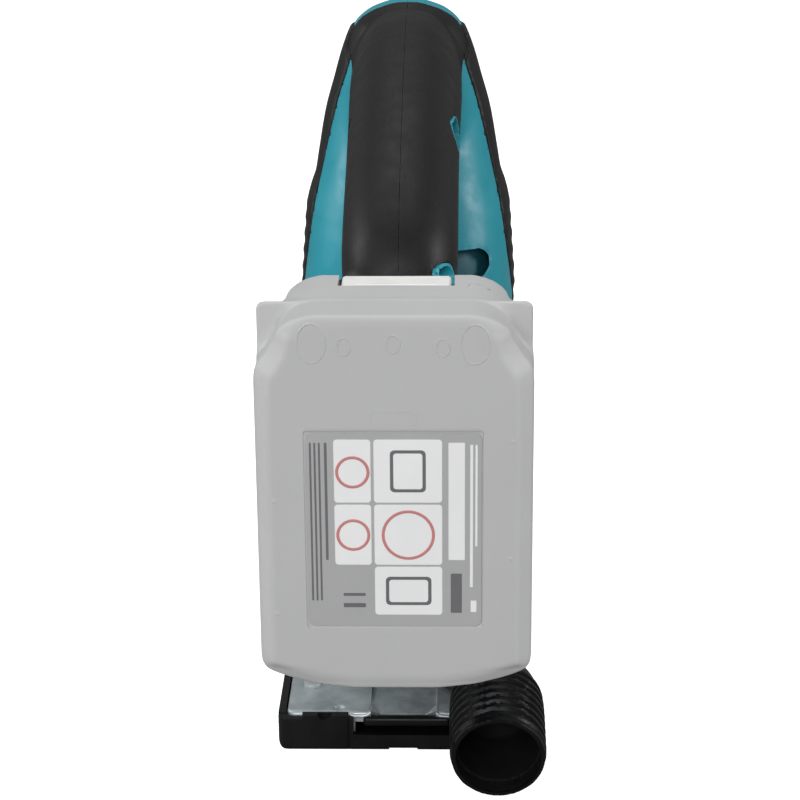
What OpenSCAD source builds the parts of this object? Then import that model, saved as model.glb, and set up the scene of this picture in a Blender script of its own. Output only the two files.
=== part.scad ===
// Cordless orbital jigsaw with a D-handle and a slide-on battery pack.
// Frame: +Y is the cutting direction, +X the operator's right, +Z up.
// The origin is the centre of the sole, on the plane that rides on the work.

/* [Base] */
// Length of the base along the cut
base_length = 184; // [178:1:190]
// Width of the base
base_width = 80; // [76:1:80]
// Height of the base's rim above the sole
base_height = 12; // [12:0.5:12.5]

/* [Battery] */
// Width of the battery pack
pack_width = 75; // [73:1:76]
// Length of the battery pack's case, which stands upright
pack_length = 108; // [106:1:109]
// Thickness of the battery pack's case without its rails
pack_depth = 49.5; // [49:0.5:51]
// Height of the battery pack's lower end above the sole
pack_bottom = 60; // [58:1:61]

/* [Drive] */
// Stroke of the plunger
stroke = 26; // [20:1:26]
// Height of the motor shaft above the sole
motor_z = 84; // [84:0.5:84.5]
// Radius of the motor can
can_r = 25; // [24:0.5:25]

/* [Grip] */
// Half the width of the grip at its rear end
grip_half_rear = 16.7; // [16:0.1:17.5]
// Half the width of the grip at its front root
grip_half_front = 18.8; // [18:0.1:19.5]
// Thickness of the rubber layer over the housing
rubber = 1.6; // [1.2:0.1:1.8]
// Thickness of the housing's wall, rubber included
wall = 3.4; // [3.2:0.1:3.6]

/* [Hidden] */
$fn = 48;

// Small gap between pieces that slide or turn on each other
gap = 0.3;
running = 0.04;

// Places along the cut
base_rear = -base_length / 2;
base_front = base_length / 2;
plunger_y = 48;
pack_rear = -170;
pack_front = pack_rear + pack_depth;
mount_plane = -108;

// Bevel pivot, which lies just above the sole so that the blade stays in its slot
bevel_z = 3;
saddle_r = 26;
saddle_wall = 3;
foot_rear = -28;
foot_front = 20;

// Gear train: module, teeth and centre distance
gear_module = 0.8;
pinion_teeth = 10;
gear_teeth = 55;
gear_z = motor_z + gear_module * (pinion_teeth + gear_teeth) / 2;
crank_r = stroke / 2;

// Colours
teal = [0.0, 0.5, 0.58];
black_rubber = [0.13, 0.13, 0.14];
black_plastic = [0.08, 0.08, 0.09];
pack_grey = [0.71, 0.71, 0.71];
aluminium = [0.72, 0.73, 0.74];
steel = [0.6, 0.61, 0.63];
brass = [0.75, 0.6, 0.3];
copper = [0.72, 0.43, 0.25];

// ---------------------------------------------------------------- shapes

function signed_power(v, p) = sign(v) * pow(abs(v), p);

function superellipse(count, a, b, e) = [
    for (i = [0 : count - 1])
        let (t = 360 * (i + 0.5) / count)
        [a * signed_power(cos(t), 2 / e), b * signed_power(sin(t), 2 / e)]
];

// A closed skin over rings of points; flip is for rings that run against their direction of travel
module skin(rings, flip = false) {
    count = len(rings[0]);
    last = len(rings) - 1;
    points = [for (r = rings) each r];
    sides = [
        for (j = [0 : last - 1], i = [0 : count - 1])
            let (a = j * count + i, b = j * count + (i + 1) % count)
            each [[a, a + count, b + count], [a, b + count, b]]
    ];
    caps = [
        [for (i = [0 : count - 1]) i],
        [for (i = [count - 1 : -1 : 0]) last * count + i]
    ];
    faces = concat(sides, caps);
    polyhedron(points, flip ? [for (f = faces) [for (i = [len(f) - 1 : -1 : 0]) f[i]]] : faces, convexity = 6);
}

module rounded_rect(x, y, r) {
    union() {
        square([x, y - 2 * r], center = true);
        square([x - 2 * r, y], center = true);
        for (sx = [-1, 1], sy = [-1, 1])
            translate([sx * (x / 2 - r), sy * (y / 2 - r)])
                circle(r);
    }
}

// A cylinder along Y from y0 to y1 at x, z
module rod_y(r, y0, y1, x = 0, z = 0) {
    translate([x, y1, z])
        rotate([90, 0, 0])
            cylinder(r = r, h = y1 - y0);
}

// A cylinder along X from x0 to x1 at y, z
module rod_x(r, x0, x1, y = 0, z = 0) {
    translate([x0, y, z])
        rotate([0, 90, 0])
            cylinder(r = r, h = x1 - x0);
}

// A cylinder along Z from z0 to z1 at x, y
module rod_z(r, z0, z1, x = 0, y = 0) {
    translate([x, y, z0])
        cylinder(r = r, h = z1 - z0);
}

module block(x0, x1, y0, y1, z0, z1) {
    translate([x0, y0, z0])
        cube([x1 - x0, y1 - y0, z1 - z0]);
}

// A side view outline in Y and Z, extruded across X from x0 to x1
module side_profile(points, x0, x1) {
    translate([x0, 0, 0])
        rotate([90, 0, 90])
            linear_extrude(height = x1 - x0)
                polygon(points);
}

// A front view outline in X and Z, extruded along Y from y0 to y1
module front_profile(points, y0, y1) {
    translate([0, y1, 0])
        rotate([90, 0, 0])
            linear_extrude(height = y1 - y0)
                polygon(points);
}

// ---------------------------------------------------------------- housing

// Hood over the gear head: height, half width, rear and front in Y, squareness
hood_stations = [
    [58, 27, 6, 78, 3.4], [72, 32.5, 0, 81, 3.2], [92, 35.6, -6, 83, 3.0], [120, 37, -8, 84, 2.9],
    [140, 35.8, -2, 83.5, 2.7], [152, 34, 4, 83, 2.6], [165, 30.8, 11, 81.5, 2.5],
    [179, 28.3, 18, 79, 2.4], [190, 25.2, 24, 76.5, 2.3], [201, 21.9, 30, 73, 2.2],
    [209, 18.2, 34, 69, 2.1], [213, 13.5, 40, 66, 2.0], [216.2, 5, 48, 60, 2.0]
];

hood_top = 216.2;

// Motor barrel: Y, half width, half height, squareness
barrel_stations = [
    [-106, 30.5, 31, 3.0], [-98, 32.4, 32.6, 2.8], [-60, 33, 33, 2.6], [-10, 33.4, 33, 2.6], [26, 33, 32, 2.6]
];
barrel_z = 88;

// Grip: upper point, lower point, half width, from the rear column to the hood
grip_stations = [
    [[-107.5, 128], [-78, 112], 16.4], [[-107.5, 148], [-84, 136], 16.6], [[-107.3, 160], [-80, 146], 16.7],
    [[-103, 169], [-75, 150], 16.7], [[-91, 178.5], [-66, 153], 16.7], [[-72, 187.2], [-54, 155.5], 16.8],
    [[-45, 197.3], [-38, 158.5], 17.2], [[-20, 205], [-16, 163], 17.8], [[5, 211], [4, 167], 18.4],
    [[22, 214], [20, 166], 18.8], [[40, 216], [37, 158], 18.8], [[52, 214], [50, 150], 17]
];

ring_points = 28;

module hood(inset) {
    skin([
        for (s = hood_stations)
            let (y_mid = (s[2] + s[3]) / 2, half = (s[3] - s[2]) / 2)
            let (z = min(max(s[0], 58 + inset), hood_top - inset))
            [for (p = superellipse(ring_points, max(s[1] - inset, 1), max(half - inset, 1), s[4]))
                [p[0], y_mid + p[1], z + 0.02 * s[0] / hood_top]]
    ]);
}

module barrel(inset) {
    skin([
        for (s = barrel_stations)
            [for (p = superellipse(ring_points, s[1] - inset, s[2] - inset, s[3]))
                [p[0], max(s[0], -106 + inset), barrel_z + p[1]]]
    ], flip = true);
}

module grip_tube(inset) {
    skin([
        for (s = grip_stations)
            let (mid = (s[0] + s[1]) / 2, half = (s[0] - s[1]) / 2)
            let (shrink = 1 - inset / norm(half))
            [for (p = superellipse(ring_points, s[2] - inset, shrink, 2.4))
                [p[0], mid[0] + half[0] * p[1], mid[1] + half[1] * p[1]]]
    ], flip = true);
}

// Plate behind the barrel that carries the battery's rails
module mount_block(inset) {
    stations = [[mount_plane + inset, 32.5, 47.5, 6], [-100, 32.5, 47.5, 5], [-90, 28, 42, 3.2]];
    skin([
        for (s = stations)
            [for (p = superellipse(ring_points, s[1] - inset, s[2] - inset, s[3]))
                [p[0], s[0], 110.5 + p[1]]]
    ], flip = true);
}

module body_form(inset) {
    hood(inset);
    barrel(inset);
    grip_tube(inset);
    mount_block(inset);
}

trigger_pivot = [-8, 172];
lock_place = [-29, 190];

// Side view of the rubber on the grip, from the battery up over the top to the hood
grip_mask = [
    [-112, 128], [-96, 136], [-84, 148], [-66, 160], [-44, 168], [-20, 175], [2, 182], [22, 190],
    [34, 196], [44, 203], [47, 222], [-80, 222], [-125, 180]
];

// Side view of the rubber on the body's flank, a band that widens to the front
bumper_mask = [
    [-92, 84], [-60, 97], [-20, 103], [20, 98], [44, 84], [62, 80], [62, 196], [44, 203], [34, 194],
    [22, 176], [12, 152], [2, 130], [-20, 121], [-60, 112], [-96, 98]
];

module grip_region() {
    side_profile(grip_mask, -22, 22);
}

// Rubber lies only on the outside of the flank, so it starts a little in from the silhouette
module bumper_region(side) {
    difference() {
        side_profile(bumper_mask, side < 0 ? -40 : 0, side < 0 ? 0 : 40);
        skin([
            for (s = hood_stations)
                [for (p = superellipse(16, max(s[1] - 2.2, 1), 60, 12)) [p[0], p[1] + 40, s[0] + 0.37]]
        ]);
        grip_region();
    }
}

module rubber_layer(outer) {
    difference() {
        body_form(outer);
        body_form(rubber);
    }
}

// The nose boot takes the hood's front below this outline
nose_mask = [[62, 50], [90, 50], [90, 186], [76, 186], [62, 160]];

module half_space(side) {
    block(side < 0 ? -60 : 0, side < 0 ? 0 : 60, -140, 110, 0, 240);
}

// Space inside the shells, which also clears the gear housing, the motor and the moving parts
module cavity() {
    body_form(wall);
    block(-29.5, 29.5, 5, 65, 50, 136);
    block(-24.5, 24.5, 13.5, 61, 130, 153);
    block(-27, 27, -34, 27, 50, 62.3);
    rod_y(can_r + 0.4, -93, 8, 0, motor_z);
    // Trigger slot through the grip's underside
    block(-9, 9, -58, -3, 140, 178);
    // Lamp, plunger and dust cover leave through the open bottom
    block(-22, 22, 22, 90, 40, 62);
    // Lock button across the grip, and the trigger's journals
    rod_x(5.3, -30, 30, lock_place[0], lock_place[1]);
    rod_x(2.45, -11, 11, trigger_pivot[0], trigger_pivot[1]);
    // Window for the contacts
    block(-11.5, 11.5, -110, -104, 83, 109);
}

module boss(y, z) {
    rod_x(4.2, -29, 29, y, z);
}

// Screws pass from the right shell into bosses in the left one
screw_places = [[-98, 68], [-101, 159.5], [-62, 172], [8, 198], [-30, 117]];

module screw_holes(r_head, r_shank) {
    for (p = screw_places) {
        rod_x(r_head, 6, 50, p[0], p[1]);
        rod_x(r_shank, -10, 10, p[0], p[1]);
    }
}

// Rails on the housing that hold the battery: two upright channels with inward lips
rail_bottom = 66;
rail_top = 156;
module rail(side) {
    mirror([side < 0 ? 1 : 0, 0, 0])
        side_rail();
}
module side_rail() {
    block(26.2, 32.4, -119.4, mount_plane + 4, rail_bottom, rail_top);
    block(22.5, 32.4, -119.4, -115.4, rail_bottom, rail_top);
}

module housing_half(side) {
    resize([0, 0, 0])
        difference() {
            union() {
                intersection() {
                    difference() {
                        body_form(0);
                        cavity();
                        side_profile(nose_mask, -60, 60);
                        intersection() {
                            rubber_layer(-1);
                            union() {
                                grip_region();
                                bumper_region(side);
                            }
                        }
                    }
                    half_space(side);
                }
                // Bosses for the screws, kept inside the shell's outer form
                intersection() {
                    for (p = screw_places)
                        boss(p[0], p[1]);
                    body_form(rubber + 0.6);
                    half_space(side);
                }
                rail(side);
            }
            screw_holes(3.4, 1.9);
            block(-29.5, 29.5, 5, 65, 50, 136);
            rod_y(can_r + 0.4, -93, 8, 0, motor_z);
            block(-27, 27, -34, 27, 50, 56);
            rod_x(2.45, -11, 11, trigger_pivot[0], trigger_pivot[1]);
            block(-11.5, 11.5, -110, -104, 83, 109);
            block(-17.5, 17.5, -104.3, -99, 77.5, 128.5);
        }
}

module housing_left() {
    color(teal)
        housing_half(-1);
}

module housing_right() {
    color(teal)
        housing_half(1);
}

module grip_half(side) {
    color(black_rubber)
        resize([0, 0, 0])
            difference() {
                intersection() {
                    rubber_layer(0);
                    grip_region();
                    half_space(side);
                }
                cavity();
                screw_holes(3.4, 1.9);
            }
}

module bumper_half(side) {
    color(black_rubber)
        resize([0, 0, 0])
            difference() {
                intersection() {
                    rubber_layer(0);
                    bumper_region(side);
                    half_space(side);
                }
                cavity();
                side_profile(nose_mask, -60, 60);
                screw_holes(3.4, 1.9);
            }
}

module grip_left() { grip_half(-1); }
module grip_right() { grip_half(1); }
module bumper_left() { bumper_half(-1); }
module bumper_right() { bumper_half(1); }

module housing_screws() {
    color(steel)
        for (p = screw_places)
            union() {
                rod_x(3.0, 6.1, 9.1, p[0], p[1]);
                rod_x(1.8, -9.5, 6.2, p[0], p[1]);
            }
}

// Boot over the nose, open below, with the lamp's window
module head_cover() {
    color(black_rubber)
        resize([0, 0, 0])
            difference() {
                intersection() {
                    difference() {
                        hood(0);
                        hood(wall);
                    }
                    side_profile(nose_mask, -60, 60);
                }
                cavity();
                block(-8.2, 8.2, 74, 90, 80, 88);
            }
}

module lamp_lens() {
    color([0.9, 0.95, 1, 0.5])
        block(-8, 8, 79.2, 83.2, 80.2, 87.8);
}

// ---------------------------------------------------------------- gear head

foot_outline = [[-10.2, 26.6], [10.2, 26.6], [26.5, 42.9], [26.5, 55.5], [-26.5, 55.5], [-26.5, 42.9]];
bushing_r = 9;
bushing_spans = [[75, 86], [134, 145]];
retainer_pivot = [29.5, 57];
selector_axis = [17, 46];

module gear_housing() {
    color(aluminium)
        difference() {
            union() {
                // Main case, narrower at the back where the motor meets it
                block(-29, 29, 15, 64, 62, 133);
                block(-24, 24, 14, 60, 130, 149);
                block(-22, 22, 6, 16, 62, 133);
                // Tongue and foot under the motor barrel
                block(-26.5, 26.5, foot_rear, 26, 54.9, 58.6);
                block(-26.5, 26.5, 6, 26, 54.9, 62);
                front_profile(foot_outline, foot_rear, foot_front);
                // Lugs for the retainer's pivot
                for (s = [-1, 1])
                    block(s < 0 ? -12 : 8.6, s < 0 ? -8.6 : 12, 24, 34, 51.5, 63);
            }
            // Saddle face
            rod_y(saddle_r + 0.35, foot_rear - 1, foot_front + 1, 0, bevel_z);
            // Chamber for the gear, yoke and counterweight
            block(-25.5, 25.5, 15.2, 44.5, 87, 133.6);
            block(-25.5, 25.5, 24, 44.5, 70, 90);
            block(-22.4, 22.4, 24, 44.5, 130, 148);
            rod_y(23.6, 15.2, 30, 0, gear_z);
            // Chamber around the plunger between its bushings
            block(-11, 11, 36, 60.5, 86.5, 133.5);
            // Bushing seats, and the well in which the blade clamp rises
            rod_z(bushing_r, 74.9, 88, 0, plunger_y);
            rod_z(bushing_r, 132, 150, 0, plunger_y);
            rod_z(13, 61, 75, 0, plunger_y);
            // Seat of the front bearing, pinion way and gear pin
            rod_y(11, 5, 13, 0, motor_z);
            rod_y(6.5, 12, 16, 0, motor_z);
            rod_y(5.6, 15, 27, 0, motor_z);
            rod_y(4, 5, 30, 0, gear_z);
            // Bores across: selector shaft, retainer pin, and bolt from below
            rod_x(3.54, -30, 9.2, selector_axis[0], selector_axis[1]);
            rod_x(2.5, -13, 13, retainer_pivot[0], retainer_pivot[1]);
            rod_z(3, 20, 46, 0, -4);
            // Room for the retainer behind the blade
            block(-8.5, 8.5, 20.5, 40, 30, 62.6);
            block(-8.5, 8.5, 24, 40, 60, 66);
            // Room for the dust cover's rise in front
            block(-30, 30, 64, 70, 60, 134);
        }
}

module plunger_bushings() {
    color(brass)
        for (s = bushing_spans)
            difference() {
                rod_z(bushing_r, s[0], s[1], 0, plunger_y);
                rod_z(6 + running, s[0] - 1, s[1] + 1, 0, plunger_y);
            }
}

module plunger_seal() {
    color([0.55, 0.5, 0.42])
        difference() {
            rod_z(bushing_r, 145.1, 148.5, 0, plunger_y);
            rod_z(6.2, 144, 150, 0, plunger_y);
        }
}

module gear_pin() {
    color(steel)
        rod_y(4, 6.2, 23.4, 0, gear_z);
}

// A spur gear's outline: straight-flanked teeth thinned for backlash
module gear_outline(teeth, thin) {
    pitch = gear_module * teeth / 2;
    tip = pitch + 0.72 * gear_module;
    root = pitch - 1.0 * gear_module;
    step = 360 / teeth;
    // Half angles of a tooth at its root, pitch line and tip
    half_pitch = step / 4 - thin / pitch * 57.3 / 2;
    polygon([
        for (i = [0 : teeth - 1])
            let (a = i * step)
            each [
                for (q = [[root, -1.55], [pitch, -1], [tip, -0.48], [tip, 0.48], [pitch, 1], [root, 1.55]])
                    [q[0] * cos(a + q[1] * half_pitch), q[0] * sin(a + q[1] * half_pitch)]
            ]
    ]);
}

gear_y = [16, 23];

module crank_gear() {
    color(steel) {
        difference() {
            union() {
                translate([0, gear_y[1], gear_z])
                    rotate([90, 0, 0])
                        linear_extrude(height = gear_y[1] - gear_y[0])
                            rotate([0, 0, 90 / gear_teeth])
                                gear_outline(gear_teeth, 0.22);
                // Crank pin that drives the yoke
                rod_y(3.5, gear_y[1] - 1, 31, crank_r, gear_z);
            }
            rod_y(4 + running, 10, 40, 0, gear_z);
            for (a = [90, 150, 210, 270])
                rod_y(3.6, 10, 40, 13 * cos(a), gear_z + 13 * sin(a));
        }
    }
}

module counterweight() {
    color(steel)
        translate([0, 28.8, gear_z])
            rotate([90, 0, 0])
                linear_extrude(height = 4)
                    difference() {
                        rounded_rect(44, 61, 4);
                        rounded_rect(35, 48, 4);
                    }
}

module plunger_rod() {
    color(steel)
        rod_z(6, 60.5, 152, 0, plunger_y);
}

// Slotted yoke on the plunger, in which the crank pin's roller runs
module plunger_yoke() {
    color(steel)
        difference() {
            union() {
                block(-21, 21, 31.5, 37.5, gear_z - 9.6, gear_z + 9.6);
                block(-8, 8, 37, 48, gear_z - 9.6, gear_z + 9.6);
                rod_z(9, gear_z - 9.6, gear_z + 9.6, 0, plunger_y);
            }
            block(-17, 17, 30, 37.6, gear_z - 4.2, gear_z + 4.2);
            rod_z(6, 80, 140, 0, plunger_y);
        }
}

clamp_span = [39, 60.5];

module blade_clamp() {
    color([0.35, 0.36, 0.38])
        difference() {
            union() {
                rod_z(6.4, clamp_span[0], clamp_span[1], 0, plunger_y);
                rod_z(8.8, clamp_span[0], 41.4, 0, plunger_y);
                rod_z(8.8, 56, clamp_span[1], 0, plunger_y);
            }
            // Slot for a T-shank blade
            block(-0.8, 0.8, plunger_y - 4.4, plunger_y + 4.4, 30, 57);
        }
}

// Collar with the opening lever, which turns on the clamp
module clamp_lever() {
    color(black_plastic)
        difference() {
            union() {
                rod_z(8.6, 41.7, 55.7, 0, plunger_y);
                block(-2.6, 2.6, plunger_y, plunger_y + 13.6, 43, 48);
                rod_z(2.6, 43, 48, 0, plunger_y + 13.6);
            }
            rod_z(6.4 + running, 40, 57, 0, plunger_y);
        }
}

module retainer_arm() {
    arm = [[26.6, 61.6], [32.4, 61.6], [32.4, 54], [30.8, 34], [40.8, 21], [40.2, 15.4], [36, 14.6], [33, 18], [25.6, 32], [26.6, 52]];
    color(steel)
        difference() {
            side_profile(arm, -8, 8);
            // Fork for the roller
            block(-5, 5, 28.5, 50, 10, 32);
            rod_x(2.5 + running, -20, 20, retainer_pivot[0], retainer_pivot[1]);
            rod_x(2, -20, 20, 37.6, 18.4);
        }
}

module retainer_pin() {
    color(steel)
        rod_x(2.5, -12, 12, retainer_pivot[0], retainer_pivot[1]);
}

module roller_pin() {
    color(steel)
        rod_x(2, -8, 8, 37.6, 18.4);
}

module blade_roller() {
    color([0.45, 0.46, 0.48])
        difference() {
            translate([0, 37.6, 18.4])
                rotate([0, 90, 0])
                    rotate_extrude()
                        polygon([[0, -4.6], [6, -4.6], [6, -1.1], [4.4, -0.8], [4.4, 0.8], [6, 1.1], [6, 4.6], [0, 4.6]]);
            rod_x(2 + running, -20, 20, 37.6, 18.4);
        }
}

module selector_shaft() {
    color(steel)
        difference() {
            rod_x(3.5, -31, 8.2, selector_axis[0], selector_axis[1]);
            block(-7, 9, selector_axis[0] + 1.8, selector_axis[0] + 5, 40, 52);
        }
}

module selector_lever() {
    color(black_plastic)
        difference() {
            union() {
                rod_x(9, -34, -27.2, selector_axis[0], selector_axis[1]);
                hull() {
                    rod_x(4.4, -34, -29, selector_axis[0], selector_axis[1]);
                    rod_x(3, -34, -29, selector_axis[0] - 15, selector_axis[1]);
                }
            }
            rod_x(3.5, -31, -20, selector_axis[0], selector_axis[1]);
        }
}

// ---------------------------------------------------------------- motor

module motor_can() {
    color([0.4, 0.41, 0.43])
        difference() {
            rod_y(can_r, -68, -10, 0, motor_z);
            rod_y(can_r - 2.4, -69, -9, 0, motor_z);
        }
}

module motor_magnets() {
    color([0.25, 0.25, 0.27])
        for (side = [0, 180])
            translate([0, -20, motor_z])
                rotate([90, 0, 0])
                    rotate([0, 0, side - 65])
                        rotate_extrude(angle = 130)
                            translate([16.4, 0])
                                square([can_r - 2.5 - 16.4, 38]);
}

module motor_end_bell() {
    color(black_plastic)
        difference() {
            union() {
                rod_y(can_r - 0.2, -91.8, -84, 0, motor_z);
                difference() {
                    rod_y(can_r - 0.2, -84.2, -68.2, 0, motor_z);
                    rod_y(can_r - 3, -90, -68, 0, motor_z);
                }
            }
            rod_y(11, -91, -83, 0, motor_z);
            rod_y(8, -95, -80, 0, motor_z);
            // Windows for the brush holders
            block(-28, 28, -78.5, -71.5, motor_z - 4, motor_z + 4);
        }
}

module bearing(y0) {
    difference() {
        rod_y(11, y0, y0 + 7, 0, motor_z);
        rod_y(4 + running, y0 - 1, y0 + 8, 0, motor_z);
        for (y = [y0 - 1, y0 + 6.4])
            difference() {
                rod_y(9.2, y, y + 1.6, 0, motor_z);
                rod_y(6, y - 1, y + 3, 0, motor_z);
            }
    }
}

module motor_bearings() {
    color([0.66, 0.67, 0.69]) {
        bearing(6);
        bearing(-91);
    }
}

module brush_holders() {
    color(brass)
        for (s = [-1, 1])
            difference() {
                block(s < 0 ? -24 : 10.4, s < 0 ? -10.4 : 24, -78.5, -71.5, motor_z - 4, motor_z + 4);
                block(s < 0 ? -30 : 0, s < 0 ? 0 : 30, -77.5, -72.5, motor_z - 3, motor_z + 3);
            }
}

module carbon_brushes() {
    color([0.2, 0.2, 0.21])
        for (s = [-1, 1])
            block(s < 0 ? -20 : 9.3, s < 0 ? -9.3 : 20, -77.4, -72.6, motor_z - 2.9, motor_z + 2.9);
}

module rotor_shaft() {
    color(steel) {
        rod_y(4, -91.4, 14.2, 0, motor_z);
        translate([0, 24, motor_z])
            rotate([90, 0, 0])
                linear_extrude(height = 9.9)
                    // Turned so that a tooth meets a gap of the crank gear
                    rotate([0, 0, 90 + 180 / pinion_teeth])
                        gear_outline(pinion_teeth, 0.22);
    }
}

// Laminated core with slots, and the ends of its windings
module rotor_core() {
    color(copper)
        difference() {
            union() {
                rod_y(15.6, -56, -22, 0, motor_z);
                rod_y(12.5, -61, -17, 0, motor_z);
            }
            rod_y(4, -70, 0, 0, motor_z);
            for (i = [0 : 9])
                translate([0, -39, motor_z])
                    rotate([0, i * 36, 0])
                        translate([14.4, 0, 0])
                            cube([3, 40, 1.6], center = true);
        }
}

module commutator() {
    color(copper)
        difference() {
            rod_y(9, -79.6, -66, 0, motor_z);
            rod_y(4, -90, -60, 0, motor_z);
        }
}

module cooling_fan() {
    color(black_plastic)
        difference() {
            union() {
                rod_y(22, -7.5, -6, 0, motor_z);
                rod_y(7, -7.5, 2, 0, motor_z);
                for (i = [0 : 11])
                    translate([0, -2, motor_z])
                        rotate([0, i * 30, 0])
                            translate([14, 0, 0])
                                rotate([0, 25, 0])
                                    cube([14, 8.4, 1.2], center = true);
            }
            rod_y(4, -20, 10, 0, motor_z);
        }
}

// ---------------------------------------------------------------- controls

module trigger() {
    outline = [[-4.6, 175.5], [-4.6, 163], [-9, 156], [-20, 150.5], [-40, 145.5], [-50, 144.5], [-53.4, 148], [-52.6, 158],
        [-49, 166], [-30, 170.5], [-14, 175.5]];
    color(black_plastic)
        union() {
            side_profile(outline, -8.4, 8.4);
            rod_x(2.4, -10.6, 10.6, trigger_pivot[0], trigger_pivot[1]);
        }
}

module switch_body() {
    color(black_plastic)
        difference() {
            block(-10.5, 10.5, -52, -16, 177.2, 184.6);
            block(-11, 11, -53, -44, 182, 190);
        }
}

module lock_button() {
    color(black_plastic)
        rod_x(4.9, -17.3, 15.2, lock_place[0], lock_place[1]);
}

module controller_board() {
    color([0.1, 0.35, 0.2])
        union() {
            block(-20, 20, -98.6, -97, 92, 132);
            block(-12, -2, -97.1, -94.5, 118, 130);
            block(3, 13, -97.1, -94.5, 116, 126);
        }
}

module terminal_block() {
    color(black_plastic)
        union() {
            block(-17, 17, -104.2, -100, 78, 128);
            for (x = [-10, 0, 10])
                block(x - 0.5, x + 0.5, -112.4, -104, 84, 108);
        }
}

// Leads from the terminals to the switch and the motor, each a tube along its own route
loom_side = [[-96.5, 133], [-91, 139], [-89.5, 147], [-86, 157], [-76, 165], [-66, 164.6], [-58, 166], [-55, 172], [-54.4, 180]];
loom_routes = [for (x = [-6, 6]) [for (p = loom_side) [x, p[0], p[1]]]];

module loom_tube(route) {
    skin([
        for (p = route)
            [for (i = [0 : 7]) [p[0] + 1.2 * cos(45 * i), p[1] + 0.6 * 1.2 * sin(45 * i), p[2] - 0.8 * 1.2 * sin(45 * i)]]
    ]);
}

module wiring_loom() {
    color([0.7, 0.1, 0.1])
        for (r = loom_routes)
            loom_tube(r);
}

// ---------------------------------------------------------------- base

plate_top = base_height;
plate_under = base_height - 2.5;
cover_wall = 2.4;
blade_window = 24.5;

module blade_openings(z0, z1, window) {
    block(-20.5, 20.5, foot_rear + 2, foot_front + 2.1, z0, z1);
    block(-window, window, foot_front + 2, 72, z0, z1);
    block(-8, 8, 70, base_front + 1, z0, z1);
}

module base_plate() {
    width = base_width - 2 * cover_wall - 0.6;
    length = base_length - 2 * cover_wall - 0.6;
    color(steel)
        difference() {
            translate([0, 0, 3.3])
                linear_extrude(height = plate_top - 3.3)
                    rounded_rect(width, length, 6);
            translate([0, 0, 2])
                linear_extrude(height = plate_under - 2)
                    rounded_rect(width - 4, length - 4, 4);
            blade_openings(0, 20, blade_window);
            // Open channel at the rear for the duct and the key
            block(-15.8, 15.8, base_rear - 1, base_rear + 12, 0, plate_under + 0.2);
            // Screw holes into the cover
            for (x = [-30, 30], y = [-70, 80])
                rod_z(1.7, 5, 20, x, y);
        }
}

module base_cover() {
    color(black_plastic)
        difference() {
            linear_extrude(height = base_height - 0.5)
                rounded_rect(base_width, base_length, 8);
            translate([0, 0, 3])
                linear_extrude(height = 20)
                    rounded_rect(base_width - 2 * cover_wall, base_length - 2 * cover_wall, 6.5);
            // Rear mouth over its lip, blade slot, and access to the bevel bolt
            block(-16, 16, base_rear - 1, base_rear + 6, 5.2, 20);
            block(-9.3, 9.3, 38, 66.3, -1, 4);
            block(-5.5, 5.5, 66, base_front + 1, -1, 20);
            rod_z(7, -1, 4, 0, -4);
        }
    color(black_plastic)
        for (x = [-30, 30], y = [-70, 80])
            difference() {
                rod_z(3.6, 2.9, plate_under - 0.05, x, y);
                rod_z(1.5, 4, 20, x, y);
            }
}

module base_screws() {
    color(steel)
        for (x = [-30, 30], y = [-70, 80])
            union() {
                rod_z(2.9, plate_top + 0.02, plate_top + 1.4, x, y);
                rod_z(1.45, 4.6, plate_top + 0.1, x, y);
            }
}

// Arched saddle on the plate, with a curved slot for the bevel bolt
module bevel_saddle() {
    color(steel)
        difference() {
            rod_y(saddle_r, foot_rear, foot_front, 0, bevel_z);
            rod_y(saddle_r - saddle_wall, foot_rear - 1, foot_front + 1, 0, bevel_z);
            block(-40, 40, -50, 50, -40, plate_top);
            // Slot along the arch for the bolt, to 54 degrees on each side
            front_profile([[0, 3], [34, 27.7], [34, 45], [-34, 45], [-34, 27.7]], -7.4, -0.6);
        }
}

module splinter_insert() {
    color([0.85, 0.85, 0.83])
        difference() {
            block(-9, 9, 38.3, 66, 0.2, 3.2);
            block(-1.2, 1.2, 46, 70, -1, 6);
        }
}

module bevel_bolt() {
    color([0.2, 0.2, 0.21])
        difference() {
            union() {
                rod_z(2.95, 19, 45, 0, -4);
                rod_z(5, 12.5, 17.6, 0, -4);
                // Curved washer under the arch
                intersection() {
                    rod_y(saddle_r - saddle_wall - 0.25, -11, 3, 0, bevel_z);
                    block(-7, 7, -11, 3, 17.5, 30);
                }
            }
            translate([0, -4, 12])
                rotate([0, 0, 30])
                    cylinder(r = 2.3, h = 3.4, $fn = 6);
        }
}

module hex_key() {
    color([0.15, 0.15, 0.16])
        union() {
            translate([-6, -36, 7])
                rotate([90, 0, 0])
                    cylinder(r = 2.1, h = 48, $fn = 6);
            translate([-6, -84, 7])
                rotate([0, 90, 0])
                    rotate([0, 0, 30])
                        cylinder(r = 2.1, h = 16, $fn = 6);
        }
}

nozzle_x = 29.5;
nozzle_z = 15.5;
nozzle_r = 14.2;
nozzle_bore = 12.4;
nozzle_rear = -126;
nozzle_length = 18;
// The outlet rises by this angle towards the front
nozzle_tilt = 8;

// Duct from the round outlet up over the plate: Y, centre in X and Z, half width, half height, squareness
duct_stations = [
    [-110.5, 29.5, 17.7, 13.9, 13.9, 2], [-99, 29.5, 19.5, 13.8, 13.4, 2.1], [-92.8, 29.3, 21.4, 12.6, 9.3, 2.4],
    [-84, 27, 21.6, 11.6, 8.4, 2.8], [-72, 17, 21.3, 11.6, 7.6, 3.2], [-58, 6, 20.2, 12.6, 7.4, 3.6],
    [-32, 0, 19.2, 13, 6.8, 4]
];

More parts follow.
